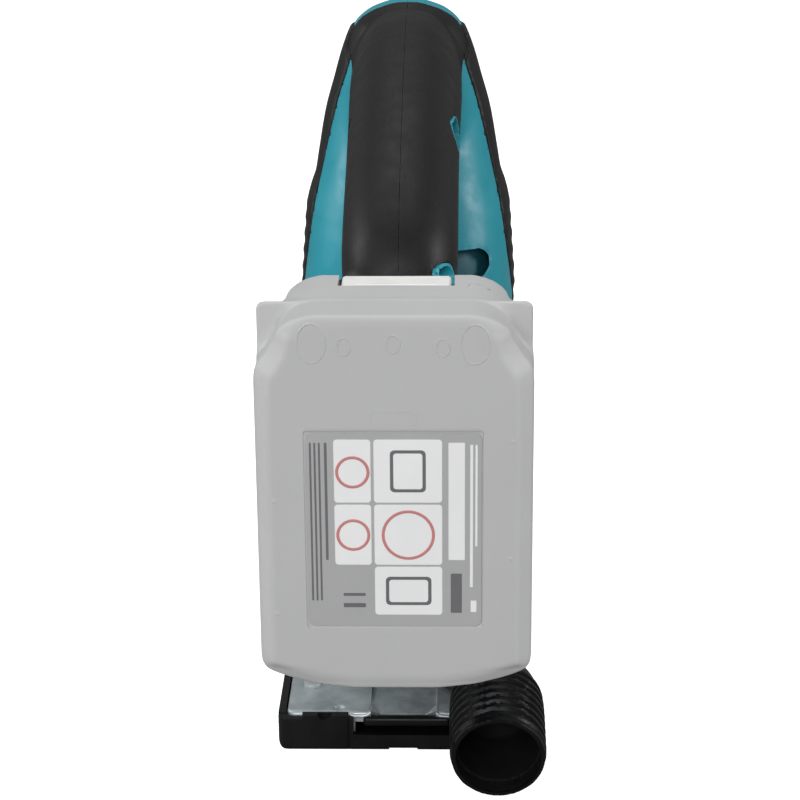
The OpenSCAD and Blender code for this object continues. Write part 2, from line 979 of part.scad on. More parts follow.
module duct(inset) {
    skin([
        for (s = duct_stations)
            [for (p = superellipse(24, s[3] - inset, s[4] - inset, s[5]))
                [s[1] + p[0], s[0] + (s[0] < -33 ? inset / 3 : inset), s[2] + p[1]]]
    ], flip = true);
}

module outlet_frame() {
    translate([nozzle_x, nozzle_rear, nozzle_z])
        rotate([nozzle_tilt, 0, 0])
            children();
}

module dust_nozzle() {
    color(black_plastic)
        difference() {
            union() {
                outlet_frame()
                    rod_y(nozzle_r, 0, nozzle_length);
                for (y = [2.6, 5.6, 8.6])
                    outlet_frame()
                        rod_y(nozzle_r + 0.5, y, y + 1.5);
                duct(0);
            }
            outlet_frame()
                rod_y(nozzle_bore, -1, nozzle_length);
            duct(1.5);
        }
}

module dust_cover() {
    color([0.85, 0.9, 0.92, 0.35])
        difference() {
            rod_z(33, 37, 66, 0, 40);
            rod_z(31, 35, 67, 0, 40);
            block(-50, 50, -10, 65.6, 30, 70);
        }
}

// ---------------------------------------------------------------- battery

pack_top = pack_bottom + pack_length;
pack_mid = pack_bottom + pack_length / 2;
cell_r = 9.2;
cell_length = 65;

module battery_case() {
    color(pack_grey)
        difference() {
            union() {
                translate([0, pack_front, pack_mid])
                    rotate([90, 0, 0])
                        linear_extrude(height = pack_depth)
                            rounded_rect(pack_width, pack_length, 7);
            }
            // Inside for the cells and the board
            block(-34.6, 34.6, pack_rear + 2.4, pack_front + 1, pack_bottom + 2.4, pack_top - 12);
            // Slot in which the latch's tongue goes down
            block(-12.4, 12.4, pack_front - 3.4, pack_front + 1, pack_top - 28, pack_top - 9);
            // Notch for the latch button, in the upper end
            block(-16.4, 16.4, pack_rear + 35.6, pack_front + 1, pack_top - 10, pack_top + 1);
            // Seat for the gauge button in the upper end
            rod_z(3.2, pack_top - 3.4, pack_top + 1, 23, pack_rear + 36);
            // Label recess and screw wells in the rear face
            block(-24, 24, pack_rear - 1, pack_rear + 0.4, pack_bottom + 17, pack_bottom + 70);
            for (x = [-21.6, 21.6])
                rod_y(3.6, pack_rear - 1, pack_rear + 1.2, x, pack_top - 7.5);
        }
}

module battery_label() {
    color([0.45, 0.46, 0.48])
        block(-23.8, 23.8, pack_rear + 0.05, pack_rear + 0.38, pack_bottom + 17.2, pack_bottom + 69.8);
}

// Cover with the T-shaped rails and the slots for the tool's contacts
module battery_rails() {
    color(black_plastic)
        difference() {
            union() {
                block(-34.4, 34.4, pack_front - 3, pack_front, pack_bottom + 2.6, pack_top - 12.2);
                block(-22, 22, pack_front - 0.1, -114.9, 70, 152);
                block(-25.6, 25.6, -115, -109.4, 70, 152);
            }
            // Slots for the tool's contacts
            for (x = [-10, 0, 10])
                block(x - 1.4, x + 1.4, -116, -108, 60, 111);
            // Recess for the latch's tongue
            block(-12.4, 12.4, pack_front - 4, -108, 143, 160);
        }
}

module battery_cells() {
    color([0.15, 0.35, 0.55])
        for (row = [0, 1], i = [0 : 4])
            rod_x(cell_r, -cell_length / 2, cell_length / 2, pack_rear + 12.5 + row * 20, pack_bottom + 12 + i * 18.5);
}

module battery_board() {
    color([0.1, 0.35, 0.2])
        block(-28, 28, pack_front - 5, pack_front - 3.4, pack_bottom + 8, 142);
}

module battery_screws() {
    color(steel)
        for (x = [-21.6, 21.6])
            rod_y(3.0, pack_rear + 0.3, pack_rear + 1.15, x, pack_top - 7.5);
}

// Button on the upper end, with the tongue that locks in the housing
module latch_button() {
    color([0.93, 0.93, 0.92])
        union() {
            block(-16, 16, pack_rear + 36, pack_front - 0.6, pack_top - 5.4, pack_top + 0.8);
            block(-12, 12, pack_front - 3, -108.5, pack_top - 20, pack_top - 16.4);
            block(-12, 12, pack_front - 3, pack_front - 0.6, pack_top - 20, pack_top - 5);
        }
}

module latch_spring() {
    color(steel)
        for (x = [-9, 9])
            rod_z(2.2, pack_top - 9.95, pack_top - 5.45, x, pack_rear + 41);
}

module gauge_button() {
    color([0.3, 0.3, 0.31])
        rod_z(2.9, pack_top - 1.9, pack_top + 0.3, 23, pack_rear + 36);
}

// ---------------------------------------------------------------- nodes

housing_left();
housing_right();
grip_left();
grip_right();
bumper_left();
bumper_right();
housing_screws();
gear_housing();
head_cover();
plunger_bushings();
plunger_seal();
gear_pin();
motor_can();
motor_magnets();
motor_end_bell();
motor_bearings();
brush_holders();
carbon_brushes();
switch_body();
controller_board();
terminal_block();
lamp_lens();
wiring_loom();
bevel_bolt();
retainer_pin();
rotor_shaft();
rotor_core();
commutator();
cooling_fan();
crank_gear();
counterweight();
plunger_rod();
plunger_yoke();
blade_clamp();
clamp_lever();
retainer_arm();
roller_pin();
blade_roller();
selector_lever();
selector_shaft();
trigger();
lock_button();
base_plate();
base_cover();
bevel_saddle();
splinter_insert();
dust_nozzle();
base_screws();
hex_key();
dust_cover();
battery_case();
battery_rails();
battery_cells();
battery_board();
battery_label();
battery_screws();
latch_button();
latch_spring();
gauge_button();
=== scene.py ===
import math

import bpy
import numpy as np
from mathutils import Matrix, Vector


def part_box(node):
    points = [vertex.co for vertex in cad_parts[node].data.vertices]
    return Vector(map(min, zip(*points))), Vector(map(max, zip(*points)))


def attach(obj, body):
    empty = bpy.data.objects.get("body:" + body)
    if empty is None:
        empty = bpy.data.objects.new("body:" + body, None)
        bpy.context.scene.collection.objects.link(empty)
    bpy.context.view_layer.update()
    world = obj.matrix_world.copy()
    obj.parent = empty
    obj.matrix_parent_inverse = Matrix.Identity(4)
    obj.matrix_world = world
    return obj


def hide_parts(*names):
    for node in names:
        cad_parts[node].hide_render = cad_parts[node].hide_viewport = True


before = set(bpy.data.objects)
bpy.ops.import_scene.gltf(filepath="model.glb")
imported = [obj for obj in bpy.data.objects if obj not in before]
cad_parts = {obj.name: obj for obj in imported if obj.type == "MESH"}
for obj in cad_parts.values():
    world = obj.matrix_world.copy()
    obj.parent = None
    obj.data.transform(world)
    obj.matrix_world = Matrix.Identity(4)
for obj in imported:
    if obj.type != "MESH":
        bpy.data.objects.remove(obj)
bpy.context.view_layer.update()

# Lengths in this script are in millimetres until a mesh is made, which scales them to metres.
MM = 0.001


def node_box(name):
    """A CAD node's lowest and highest corners in millimetres."""
    low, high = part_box(name)
    return [v / MM for v in low], [v / MM for v in high]


# ------------------------------------------------------------------ camera, floor and light

CAMERA_PLACE = (15.8, -719.0, 334.0)
CAMERA_PITCH = 71.0
# Turn about the camera's own upright axis, after the pitch
CAMERA_TURN = 1.380
FOCAL = 99.0


def make_camera():
    data = bpy.data.cameras.new("camera")
    data.lens = FOCAL
    data.sensor_width = 36.0
    data.clip_start = 0.01
    data.clip_end = 50.0
    camera = bpy.data.objects.new("camera", data)
    camera.location = [v * MM for v in CAMERA_PLACE]
    turned = (Matrix.Rotation(math.radians(CAMERA_PITCH), 3, "X")
              @ Matrix.Rotation(math.radians(CAMERA_TURN), 3, "Y"))
    camera.rotation_euler = turned.to_euler()
    bpy.context.scene.collection.objects.link(camera)
    bpy.context.scene.camera = camera


def area_light(name, place, target, size, power):
    data = bpy.data.lights.new(name, "AREA")
    data.shape = "RECTANGLE"
    data.size, data.size_y = size
    data.energy = power
    light = bpy.data.objects.new(name, data)
    light.location = place
    offset = np.array(target) - np.array(place)
    flat = math.hypot(offset[0], offset[1])
    light.rotation_euler = (math.atan2(flat, -offset[2]), 0.0, math.atan2(offset[1], offset[0]) - math.pi / 2)
    bpy.context.scene.collection.objects.link(light)


def put(node, **values):
    """Sets a node's sockets; an underscore stands for a space in a socket's name."""
    for name, value in values.items():
        node.inputs[name.replace("_", " ")].default_value = value


def camera_sees(tree, seen, other, out):
    """The camera's rays meet one shader, and all other rays the other one."""
    path = tree.nodes.new("ShaderNodeLightPath")
    mix = tree.nodes.new("ShaderNodeMixShader")
    for start, end in ((path.outputs["Is Camera Ray"], mix.inputs[0]), (other.outputs[0], mix.inputs[1]),
                       (seen.outputs[0], mix.inputs[2]), (mix.outputs[0], out.inputs["Surface"])):
        tree.links.new(start, end)


def make_world():
    """White where the camera looks past the object, and dimmer where it lights the object."""
    world = bpy.data.worlds.new("studio")
    bpy.context.scene.world = world
    world.use_nodes = True
    tree = world.node_tree
    tree.nodes.clear()
    out = tree.nodes.new("ShaderNodeOutputWorld")
    seen = tree.nodes.new("ShaderNodeBackground")
    put(seen, Color=(1, 1, 1, 1), Strength=1.0)
    lit = tree.nodes.new("ShaderNodeBackground")
    put(lit, Color=(0.97, 0.985, 1, 1), Strength=0.24)
    camera_sees(tree, seen, lit, out)


# Name, place and target in metres, size, power
LIGHTS = [
    ("left", (-1.15, 0.1, 0.8), (0.0, -0.02, 0.16), (0.5, 0.6), 6.5),
    ("right", (1.15, -0.1, 0.75), (0.0, -0.02, 0.14), (0.45, 0.5), 7.0),
    ("front", (-0.35, -1.7, 0.9), (0.0, -0.1, 0.1), (1.3, 0.9), 20.5),
    ("top", (-0.1, 0.5, 1.35), (0.0, 0.0, 0.15), (0.7, 0.5), 2.5),
]
FLOOR_HALF = 4.0
FLOOR_Z = -0.0002


def make_stage():
    scene = bpy.context.scene
    scene.view_settings.view_transform = "Standard"
    scene.view_settings.look = "None"
    make_camera()
    make_world()
    for light in LIGHTS:
        area_light(*light)
    mesh = bpy.data.meshes.new("floor")
    side = FLOOR_HALF
    mesh.from_pydata([(-side, -side, 0), (side, -side, 0), (side, side, 0), (-side, side, 0)], [], [(0, 1, 2, 3)])
    floor = bpy.data.objects.new("floor", mesh)
    scene.collection.objects.link(floor)
    white = bpy.data.materials.new("floor_white")
    white.use_nodes = True
    tree = white.node_tree
    shader = tree.nodes["Principled BSDF"]
    put(shader, Base_Color=(0.86, 0.86, 0.86, 1), Roughness=0.9, Specular_IOR_Level=0.1,
        Emission_Color=(1, 1, 1, 1), Emission_Strength=0.85)
    dim = tree.nodes.new("ShaderNodeBsdfDiffuse")
    put(dim, Color=(0.3, 0.3, 0.3, 1))
    camera_sees(tree, shader, dim, tree.nodes["Material Output"])
    mesh.materials.append(white)
    floor.location.z = FLOOR_Z


# ------------------------------------------------------------------ materials

def material(name, colour, rough, metallic=0.0, grain=900.0, bump=0.05, depth=0.0004, variation=0.12,
             rough_spread=0.12, wear=None, specular=0.5, blotch=35.0, transmission=0.0, fine=4.0, stretch=None):
    """A procedural surface: colour drift, fine speckle, uneven gloss, a moulded or ground texture, worn edges."""
    m = bpy.data.materials.new(name)
    m.use_nodes = True
    tree = m.node_tree
    add = tree.nodes.new
    link = tree.links.new
    shader = tree.nodes["Principled BSDF"]
    coords = add("ShaderNodeTexCoord")
    source = coords.outputs["Object"]
    if stretch:
        mapping = add("ShaderNodeMapping")
        put(mapping, Scale=stretch)
        link(source, mapping.inputs["Vector"])
        source = mapping.outputs["Vector"]

    def noise(scale, detail, roughness=0.55):
        n = add("ShaderNodeTexNoise")
        put(n, Scale=scale, Detail=detail, Roughness=roughness)
        link(source, n.inputs["Vector"])
        return n.outputs["Fac"]

    def ramp(value, low, high, a, b):
        r = add("ShaderNodeMapRange")
        put(r, From_Min=low, From_Max=high, To_Min=a, To_Max=b)
        link(value, r.inputs["Value"])
        return r.outputs["Result"]

    def mix(factor, a, b, blend="MIX"):
        x = add("ShaderNodeMix")
        x.data_type = "RGBA"
        x.blend_type = blend
        if isinstance(factor, float):
            x.inputs["Factor"].default_value = factor
        else:
            link(factor, x.inputs["Factor"])
        for socket, value in ((x.inputs["A"], a), (x.inputs["B"], b)):
            if isinstance(value, tuple):
                socket.default_value = value
            else:
                link(value, socket)
        return x.outputs["Result"]

    def shade(k):
        return tuple(min(max(c * k, 0.0), 1.0) for c in colour[:3]) + (1.0,)

    broad = noise(blotch, 3.0)
    speck = noise(grain, 2.0)
    base = mix(ramp(broad, 0.35, 0.65, 0.0, 1.0), shade(1.0 - variation), shade(1.0 + variation))
    base = mix(ramp(speck, 0.62, 0.8, 0.0, 0.55), base, shade(1.0 + variation * fine))
    if wear:
        geometry = add("ShaderNodeNewGeometry")
        edge = ramp(geometry.outputs["Pointiness"], 0.53, 0.62, 0.0, wear[0])
        broken = add("ShaderNodeMath")
        broken.operation = "MULTIPLY"
        link(edge, broken.inputs[0])
        link(ramp(noise(260.0, 3.0), 0.4, 0.6, 0.35, 1.0), broken.inputs[1])
        base = mix(broken.outputs[0], base, tuple(wear[1]) + (1.0,))
    link(base, shader.inputs["Base Color"])
    patch = noise(blotch * 4.0, 4.0)
    gloss = ramp(patch, 0.3, 0.7, max(rough - rough_spread, 0.03), min(rough + rough_spread, 1.0))
    link(gloss, shader.inputs["Roughness"])
    bumps = add("ShaderNodeBump")
    put(bumps, Strength=bump, Distance=depth)
    link(noise(grain * 1.3, 5.0, 0.6), bumps.inputs["Height"])
    link(bumps.outputs["Normal"], shader.inputs["Normal"])
    put(shader, Metallic=metallic, Specular_IOR_Level=specular, Transmission_Weight=transmission)
    return m


# Colour, roughness, and what differs from material()'s usual values
FINISHES = {
    "teal_plastic": ((0.02, 0.31, 0.39), 0.4, dict(bump=0.05, grain=1400, variation=0.05, fine=1.5, wear=(0.35, (0.12,
        0.42, 0.48)), specular=0.36)),
    # A darker teal for the shoulder pocket's walls and floor: painted shade of the deep recess
    "teal_painted_shade": ((0.012, 0.11, 0.145), 0.5, dict(bump=0.05, grain=1400, variation=0.06, fine=1.5)),
    "grip_rubber": ((0.0075, 0.0073, 0.0077), 0.5, dict(bump=0.22, grain=2100, depth=0.00035, variation=0.1, fine=9.0,
        wear=(0.3, (0.045, 0.045, 0.046)), specular=0.3, rough_spread=0.08)),
    "black_plastic": ((0.0045, 0.0043, 0.0046), 0.42, dict(bump=0.1, grain=1500, variation=0.15, fine=6.0, wear=(0.12,
        (0.05, 0.05, 0.052)), specular=0.3)),
    "hose_black": ((0.003, 0.0029, 0.0031), 0.38, dict(bump=0.08, grain=1500, variation=0.12, fine=5.0,
        specular=0.22)),
    "bore_black": ((0.004, 0.004, 0.0045), 0.75, dict(bump=0.1, grain=1200, specular=0.25)),
    "cast_aluminium": ((0.5, 0.51, 0.52), 0.5, dict(metallic=1.0, bump=0.35, grain=700, variation=0.1, wear=(0.5,
        (0.75, 0.76, 0.77)))),
    "sheet_steel": ((0.46, 0.505, 0.52), 0.42, dict(metallic=0.55, bump=0.32, grain=1500, depth=0.0004, variation=0.2,
        fine=3.5, wear=(0.9, (0.75, 0.77, 0.78)), blotch=90.0)),
    # A lighter copy of the sheet steel for the mouth's rolled lip and trim: painted highlight
    "steel_painted_highlight": ((0.55, 0.58, 0.6), 0.45, dict(metallic=0.75, bump=0.2, grain=1200, variation=0.16, blotch=160.0)),
    "tool_steel": ((0.42, 0.43, 0.45), 0.3, dict(metallic=1.0, bump=0.15, grain=900, variation=0.1, stretch=(1.0, 1.0,
        0.15), wear=(0.5, (0.7, 0.71, 0.72)))),
    "dark_steel": ((0.08, 0.08, 0.085), 0.4, dict(metallic=0.9, bump=0.2, grain=900, wear=(0.6, (0.4, 0.4, 0.41)))),
    "bronze": ((0.5, 0.34, 0.17), 0.4, dict(metallic=1.0, bump=0.3, grain=1600, variation=0.15)),
    "copper": ((0.66, 0.3, 0.15), 0.35, dict(metallic=1.0, bump=0.25, grain=1100, variation=0.15)),
    "magnet": ((0.07, 0.07, 0.075), 0.6, dict(metallic=0.4, bump=0.4, grain=1000)),
    "carbon": ((0.02, 0.02, 0.022), 0.6, dict(metallic=0.3, bump=0.35, grain=1500)),
    "felt": ((0.34, 0.3, 0.24), 0.95, dict(bump=0.9, grain=1800, variation=0.25, specular=0.1)),
    "circuit_board": ((0.015, 0.13, 0.06), 0.35, dict(bump=0.15, grain=900, variation=0.3)),
    "cell_wrap": ((0.04, 0.13, 0.33), 0.3, dict(bump=0.05, grain=500, variation=0.08)),
    "wire": ((0.3, 0.015, 0.015), 0.42, dict(bump=0.05, grain=700, variation=0.1)),
    "pack_plastic": ((0.55, 0.55, 0.55), 0.62, dict(bump=0.08, grain=1700, variation=0.012, fine=1.6,
        rough_spread=0.06, specular=0.25, wear=(0.28, (0.62, 0.62, 0.62)))),
    "label": ((0.46, 0.46, 0.465), 0.5, dict(bump=0.04, grain=900, variation=0.02, fine=1.2, specular=0.25)),
    "label_white": ((0.93, 0.93, 0.935), 0.5, dict(bump=0.03, grain=900, variation=0.02, fine=0.3, specular=0.2)),
    "label_dark": ((0.17, 0.17, 0.175), 0.5, dict(bump=0.03, grain=900, variation=0.04, specular=0.2)),
    "label_red": ((0.62, 0.25, 0.24), 0.5, dict(bump=0.03, grain=900, variation=0.04, specular=0.2)),
    "button_plastic": ((0.9, 0.895, 0.87), 0.42, dict(bump=0.05, grain=1400, variation=0.015, fine=0.6,
        specular=0.35)),
    "insert_plastic": ((0.74, 0.74, 0.7), 0.45, dict(bump=0.08, grain=1200, variation=0.04)),
    "clear_plastic": ((0.9, 0.94, 0.95), 0.12, dict(bump=0.02, grain=500, variation=0.01, fine=0.3, rough_spread=0.04,
        transmission=0.9)),
    "lens": ((0.93, 0.96, 1.0), 0.08, dict(bump=0.02, grain=500, variation=0.01, fine=0.2, rough_spread=0.03,
        transmission=0.85)),
}


def make_materials():
    return {name: material(name, colour, rough, **more) for name, (colour, rough, more) in FINISHES.items()}


# ------------------------------------------------------------------ distance fields

def mix_min(a, b, k):
    h = np.clip(0.5 + 0.5 * (b - a) / k, 0.0, 1.0)
    return b + (a - b) * h - k * h * (1.0 - h)


def mix_max(a, b, k):
    return -mix_min(-a, -b, k)


def carve(d, *cuts):
    """Takes each cut's solid away from d."""
    for cut in cuts:
        d = np.maximum(d, -cut)
    return d


def curve(points, column, count=500):
    """Monotone smooth curve through a table's first column and another one, sampled for np.interp."""
    table = np.array([[p[0], p[column]] for p in points], float)
    x, y = table[:, 0], table[:, 1]
    h = np.diff(x)
    d = np.diff(y) / h
    m = np.zeros(len(x))
    m[0], m[-1] = d[0], d[-1]
    for i in range(1, len(x) - 1):
        if d[i - 1] * d[i] > 0:
            a, b = 2 * h[i] + h[i - 1], h[i] + 2 * h[i - 1]
            m[i] = (a + b) / (a / d[i - 1] + b / d[i])
    grid = np.linspace(x[0], x[-1], count)
    i = np.clip(np.searchsorted(x, grid) - 1, 0, len(h) - 1)
    t = (grid - x[i]) / h[i]
    value = ((1 + 2 * t) * (1 - t) ** 2 * y[i] + t * (1 - t) ** 2 * h[i] * m[i]
             + t * t * (3 - 2 * t) * y[i + 1] + t * t * (t - 1) * h[i] * m[i + 1])
    return lambda q: np.interp(q, grid, value)


def oval(u, v, a, b, e):
    """Distance-like value of a superellipse with half axes a and b."""
    r = (np.abs(u / a) ** e + np.abs(v / b) ** e) ** (1.0 / e)
    size = np.sqrt(u * u + v * v)
    return size - size / np.maximum(r, 1e-4)


def slab(a, low, high):
    return np.abs(a - (low + high) / 2) - (high - low) / 2


def brick(x, y, z, low, high, r=0.0):
    q = [slab(a, l + r, h - r) for a, l, h in zip((x, y, z), low, high)]
    out = np.sqrt(sum(np.maximum(a, 0.0) ** 2 for a in q))
    return out + np.minimum(np.maximum(np.maximum(q[0], q[1]), q[2]), 0.0) - r


def disc(a, b, along, r, low, high, edge=0.0):
    p, q = np.hypot(a, b) - r + edge, slab(along, low + edge, high - edge)
    return np.hypot(np.maximum(p, 0.0), np.maximum(q, 0.0)) + np.minimum(np.maximum(p, q), 0.0) - edge


def pill(u, v, a, b, r):
    """Distance to a thick line from a to b in a plane."""
    a, b = np.array(a, float), np.array(b, float)
    d = b - a
    t = np.clip(((u - a[0]) * d[0] + (v - a[1]) * d[1]) / (d @ d), 0.0, 1.0)
    return np.hypot(u - a[0] - t * d[0], v - a[1] - t * d[1]) - r


def outline(points, u, v):
    """Signed distance to a polygon, negative inside."""
    p = np.array(points, float)
    best = np.full(np.shape(u), 1e9)
    inside = np.zeros(np.shape(u), bool)
    for a, b in zip(p, np.roll(p, -1, axis=0)):
        best = np.minimum(best, pill(u, v, a, b, 0.0))
        rises = (a[1] > v) != (b[1] > v)
        gap = b[1] - a[1]
        cross = a[0] + (v - a[1]) * (b[0] - a[0]) / (gap if abs(gap) > 1e-9 else 1e-9)
        inside ^= rises & (u < cross)
    return np.where(inside, -best, best)


def blurred(values, rounds):
    for _ in range(rounds):
        for k in (0, 1):
            padded = np.concatenate([values.take([0, 0], k), values, values.take([-1, -1], k)], k)
            n = values.shape[k]
            values = sum(padded.take(range(i, i + n), k) for i in range(5)) / 5.0
    return values


class Plan:
    """A function of two coordinates, kept on a fine grid and read by interpolation."""

    def __init__(self, function, low, high, step):
        self.low, self.step = low, step
        self.shape = [int((h - l) / step) + 2 for l, h in zip(low, high)]
        u = low[0] + step * np.arange(self.shape[0])
        v = low[1] + step * np.arange(self.shape[1])
        self.value = function(*np.meshgrid(u, v, indexing="ij"))

    def __call__(self, u, v):
        a = np.clip((u - self.low[0]) / self.step, 0, self.shape[0] - 1.001)
        b = np.clip((v - self.low[1]) / self.step, 0, self.shape[1] - 1.001)
        i, j = a.astype(int), b.astype(int)
        a, b = a - i, b - j
        f = self.value
        return (f[i, j] * (1 - a) * (1 - b) + f[i + 1, j] * a * (1 - b)
                + f[i, j + 1] * (1 - a) * b + f[i + 1, j + 1] * a * b)


def soften(points, reach, rounds=2):
    """Cuts a polygon's corners, each time by at most reach along its edges."""
    p = np.array(points, float)
    for _ in range(rounds):
        out = []
        for a, b in zip(p, np.roll(p, -1, axis=0)):
            length = max(float(np.hypot(*(b - a))), 1e-6)
            t = min(0.25, reach / length)
            out += [a + t * (b - a), b - t * (b - a)]
        p = np.array(out)
        reach *= 0.5
    return p


def side_plan(points, reach=6.0, rounds=3):
    p = soften(points, reach, rounds)
    return Plan(lambda u, v: outline(p, u, v), (-140.0, 40.0), (104.0, 232.0), 0.5)


# ------------------------------------------------------------------ meshes from fields

def axis(low, high, step, fine=()):
    """Grid coordinates from low to high; fine lists (from, to, step) for closer parts."""
    marks, here = [low], low
    while here < high:
        s = step
        for a, b, f in fine:
            if a <= here < b:
                s = f
        here += s
        marks.append(here)
    return np.array(marks)


def contour(field, xs, ys, zs):
    """Dual contouring: vertices and quads of the field's zero surface, with its sharp edges kept."""
    axes = (xs, ys, zs)
    grid = np.meshgrid(*axes, indexing="ij")
    value = field(*grid)
    inside = value < 0
    cells = [len(a) - 1 for a in axes]
    rows, facts, faces = [], [], []
    for k in range(3):
        here = [slice(None)] * 3
        there = [slice(None)] * 3
        here[k], there[k] = slice(0, -1), slice(1, None)
        crossing = np.argwhere(inside[tuple(here)] != inside[tuple(there)])
        if not len(crossing):
            continue
        after = crossing.copy()
        after[:, k] += 1
        p0 = np.stack([axes[i][crossing[:, i]] for i in range(3)], 1)
        p1 = np.stack([axes[i][after[:, i]] for i in range(3)], 1)
        v0, v1 = value[tuple(crossing.T)], value[tuple(after.T)]
        starts_in = v0 < 0
        a, b, fa, fb = np.zeros(len(p0)), np.ones(len(p0)), v0.copy(), v1.copy()
        for step in range(4):
            t = a + (b - a) * (np.clip(fa / (fa - fb), 0.05, 0.95) if step % 2 == 0 else 0.5)
            p = p0 + t[:, None] * (p1 - p0)
            f = field(*p.T)
            low = (f < 0) == starts_in
            a, fa = np.where(low, t, a), np.where(low, f, fa)
            b, fb = np.where(low, b, t), np.where(low, fb, f)
        t = a + (b - a) * np.clip(fa / np.where(np.abs(fa - fb) < 1e-12, 1.0, fa - fb), 0.0, 1.0)
        p = p0 + t[:, None] * (p1 - p0)
        e = 0.03
        n = np.stack([field(*(p + e * np.eye(3)[i]).T) - field(*(p - e * np.eye(3)[i]).T) for i in range(3)], 1)
        n /= np.maximum(np.linalg.norm(n, axis=1), 1e-9)[:, None]
        i, j = (k + 1) % 3, (k + 2) % 3
        around, valid = [], np.ones(len(p), bool)
        for di, dj in ((-1, -1), (0, -1), (0, 0), (-1, 0)):
            c = crossing.copy()
            c[:, i] += di
            c[:, j] += dj
            ok = (c[:, i] >= 0) & (c[:, j] >= 0) & (c[:, i] < cells[i]) & (c[:, j] < cells[j])
            valid &= ok
            number = (c[:, 0] * cells[1] + c[:, 1]) * cells[2] + c[:, 2]
            around.append(number)
            rows.append(number[ok])
            facts.append(np.concatenate([p[ok], n[ok]], 1))
        quad = np.stack(around, 1)
        quad = np.where(starts_in[:, None], quad, quad[:, ::-1])
        faces.append(quad[valid])
    rows, facts, faces = np.concatenate(rows), np.concatenate(facts), np.concatenate(faces)
    names, where = np.unique(rows, return_inverse=True)
    count = np.bincount(where)
    total = [np.bincount(where, facts[:, i]) / count for i in range(3)]
    centre = np.stack(total, 1)
    p, n = facts[:, :3] - centre[where], facts[:, 3:]
    away = (n * p).sum(1)
    a = np.zeros((len(names), 3, 3))
    b = np.zeros((len(names), 3))
    for i in range(3):
        b[:, i] = np.bincount(where, n[:, i] * away)
        for j in range(3):
            a[:, i, j] = np.bincount(where, n[:, i] * n[:, j])
    a += 0.08 * np.eye(3)
    move = np.linalg.solve(a, b[:, :, None])[:, :, 0]
    place = centre + move
    index = np.stack(np.unravel_index(names, cells), 1)
    low = np.stack([axes[i][index[:, i]] for i in range(3)], 1)
    high = np.stack([axes[i][index[:, i] + 1] for i in range(3)], 1)
    place = np.clip(place, low, high)
    return place, np.searchsorted(names, faces)


def mesh_object(name, points, faces, sharp=38.0):
    """A Blender object from points in millimetres, smooth with sharp edges kept."""
    points = np.asarray(points, float) * MM
    mesh = bpy.data.meshes.new(name)
    mesh.from_pydata(points.tolist(), [], [tuple(int(i) for i in f) for f in faces])
    mesh.validate()
    mesh.shade_smooth()
    mesh.set_sharp_from_angle(angle=math.radians(sharp))
    piece = bpy.data.objects.new(name, mesh)
    bpy.context.scene.collection.objects.link(piece)
    return piece


def finish_piece(piece, body, slot, mats, *nodes):
    for m in (mats if isinstance(mats, (list, tuple)) else [mats]):
        piece.data.materials.append(m)
    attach(piece, body)
    if nodes:
        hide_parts(*nodes)
    return piece


def field_piece(name, field, grids, sharp=38.0):
    points, faces = contour(field, *grids)
    return mesh_object(name, points, faces, sharp)


def paint(piece, chooser):
    """Gives faces a material index from their centres in millimetres and normals."""
    mesh = piece.data
    count = len(mesh.polygons)
    centre, normal = np.zeros(count * 3), np.zeros(count * 3)
    mesh.polygons.foreach_get("center", centre)
    mesh.polygons.foreach_get("normal", normal)
    index = chooser(centre.reshape(-1, 3) / MM, normal.reshape(-1, 3))
    mesh.polygons.foreach_set("material_index", index.astype(np.int32))


class Parts:
    """Collects small parts in millimetres into one mesh."""

    def __init__(self):
        self.points, self.faces, self.index = [], [], []

    def add(self, points, faces, index=0):
        start = len(self.points)
        self.points += [tuple(float(c) for c in p) for p in points]
        self.faces += [tuple(int(i) + start for i in f) for f in faces]
        self.index += [index] * len(faces)

    def add_field(self, field, grids, index=0):
        self.add(*contour(field, *grids), index)

    def build(self, name, sharp=38.0):
        piece = mesh_object(name, self.points, self.faces, sharp)
        if len(piece.data.polygons) == len(self.index):
            piece.data.polygons.foreach_set("material_index", np.array(self.index, np.int32))
        return piece


def sweep(path, radii, sides=12, closed=False, squash=1.0):
    """A tube along a path; radii is one number or one for each point."""
    path = np.array(path, float)
    count = len(path)
    radii = np.full(count, radii) if np.isscalar(radii) else np.array(radii, float)
    if closed:
        tangent = np.roll(path, -1, 0) - np.roll(path, 1, 0)
    else:
        tangent = np.gradient(path, axis=0)
    tangent /= np.linalg.norm(tangent, axis=1)[:, None]
    up = np.array([0.0, 1.0, 0.0]) if abs(tangent[0][1]) < 0.9 else np.array([0.0, 0.0, 1.0])
    points = []
    for p, t, r in zip(path, tangent, radii):
        side = np.cross(t, up)
        side /= np.linalg.norm(side)
        top = np.cross(side, t)
        for i in range(sides):
            w = 2 * math.pi * i / sides
            points.append(p + r * (math.cos(w) * side + squash * math.sin(w) * top))
    faces = []
    last = count if closed else count - 1
    for j in range(last):
        for i in range(sides):
            a, b = j * sides + i, j * sides + (i + 1) % sides
            c, d = ((j + 1) % count) * sides + i, ((j + 1) % count) * sides + (i + 1) % sides
            faces.append((a, b, d, c))
    if not closed:
        faces.append(tuple(range(sides))[::-1])
        faces.append(tuple((count - 1) * sides + i for i in range(sides)))
    return points, faces


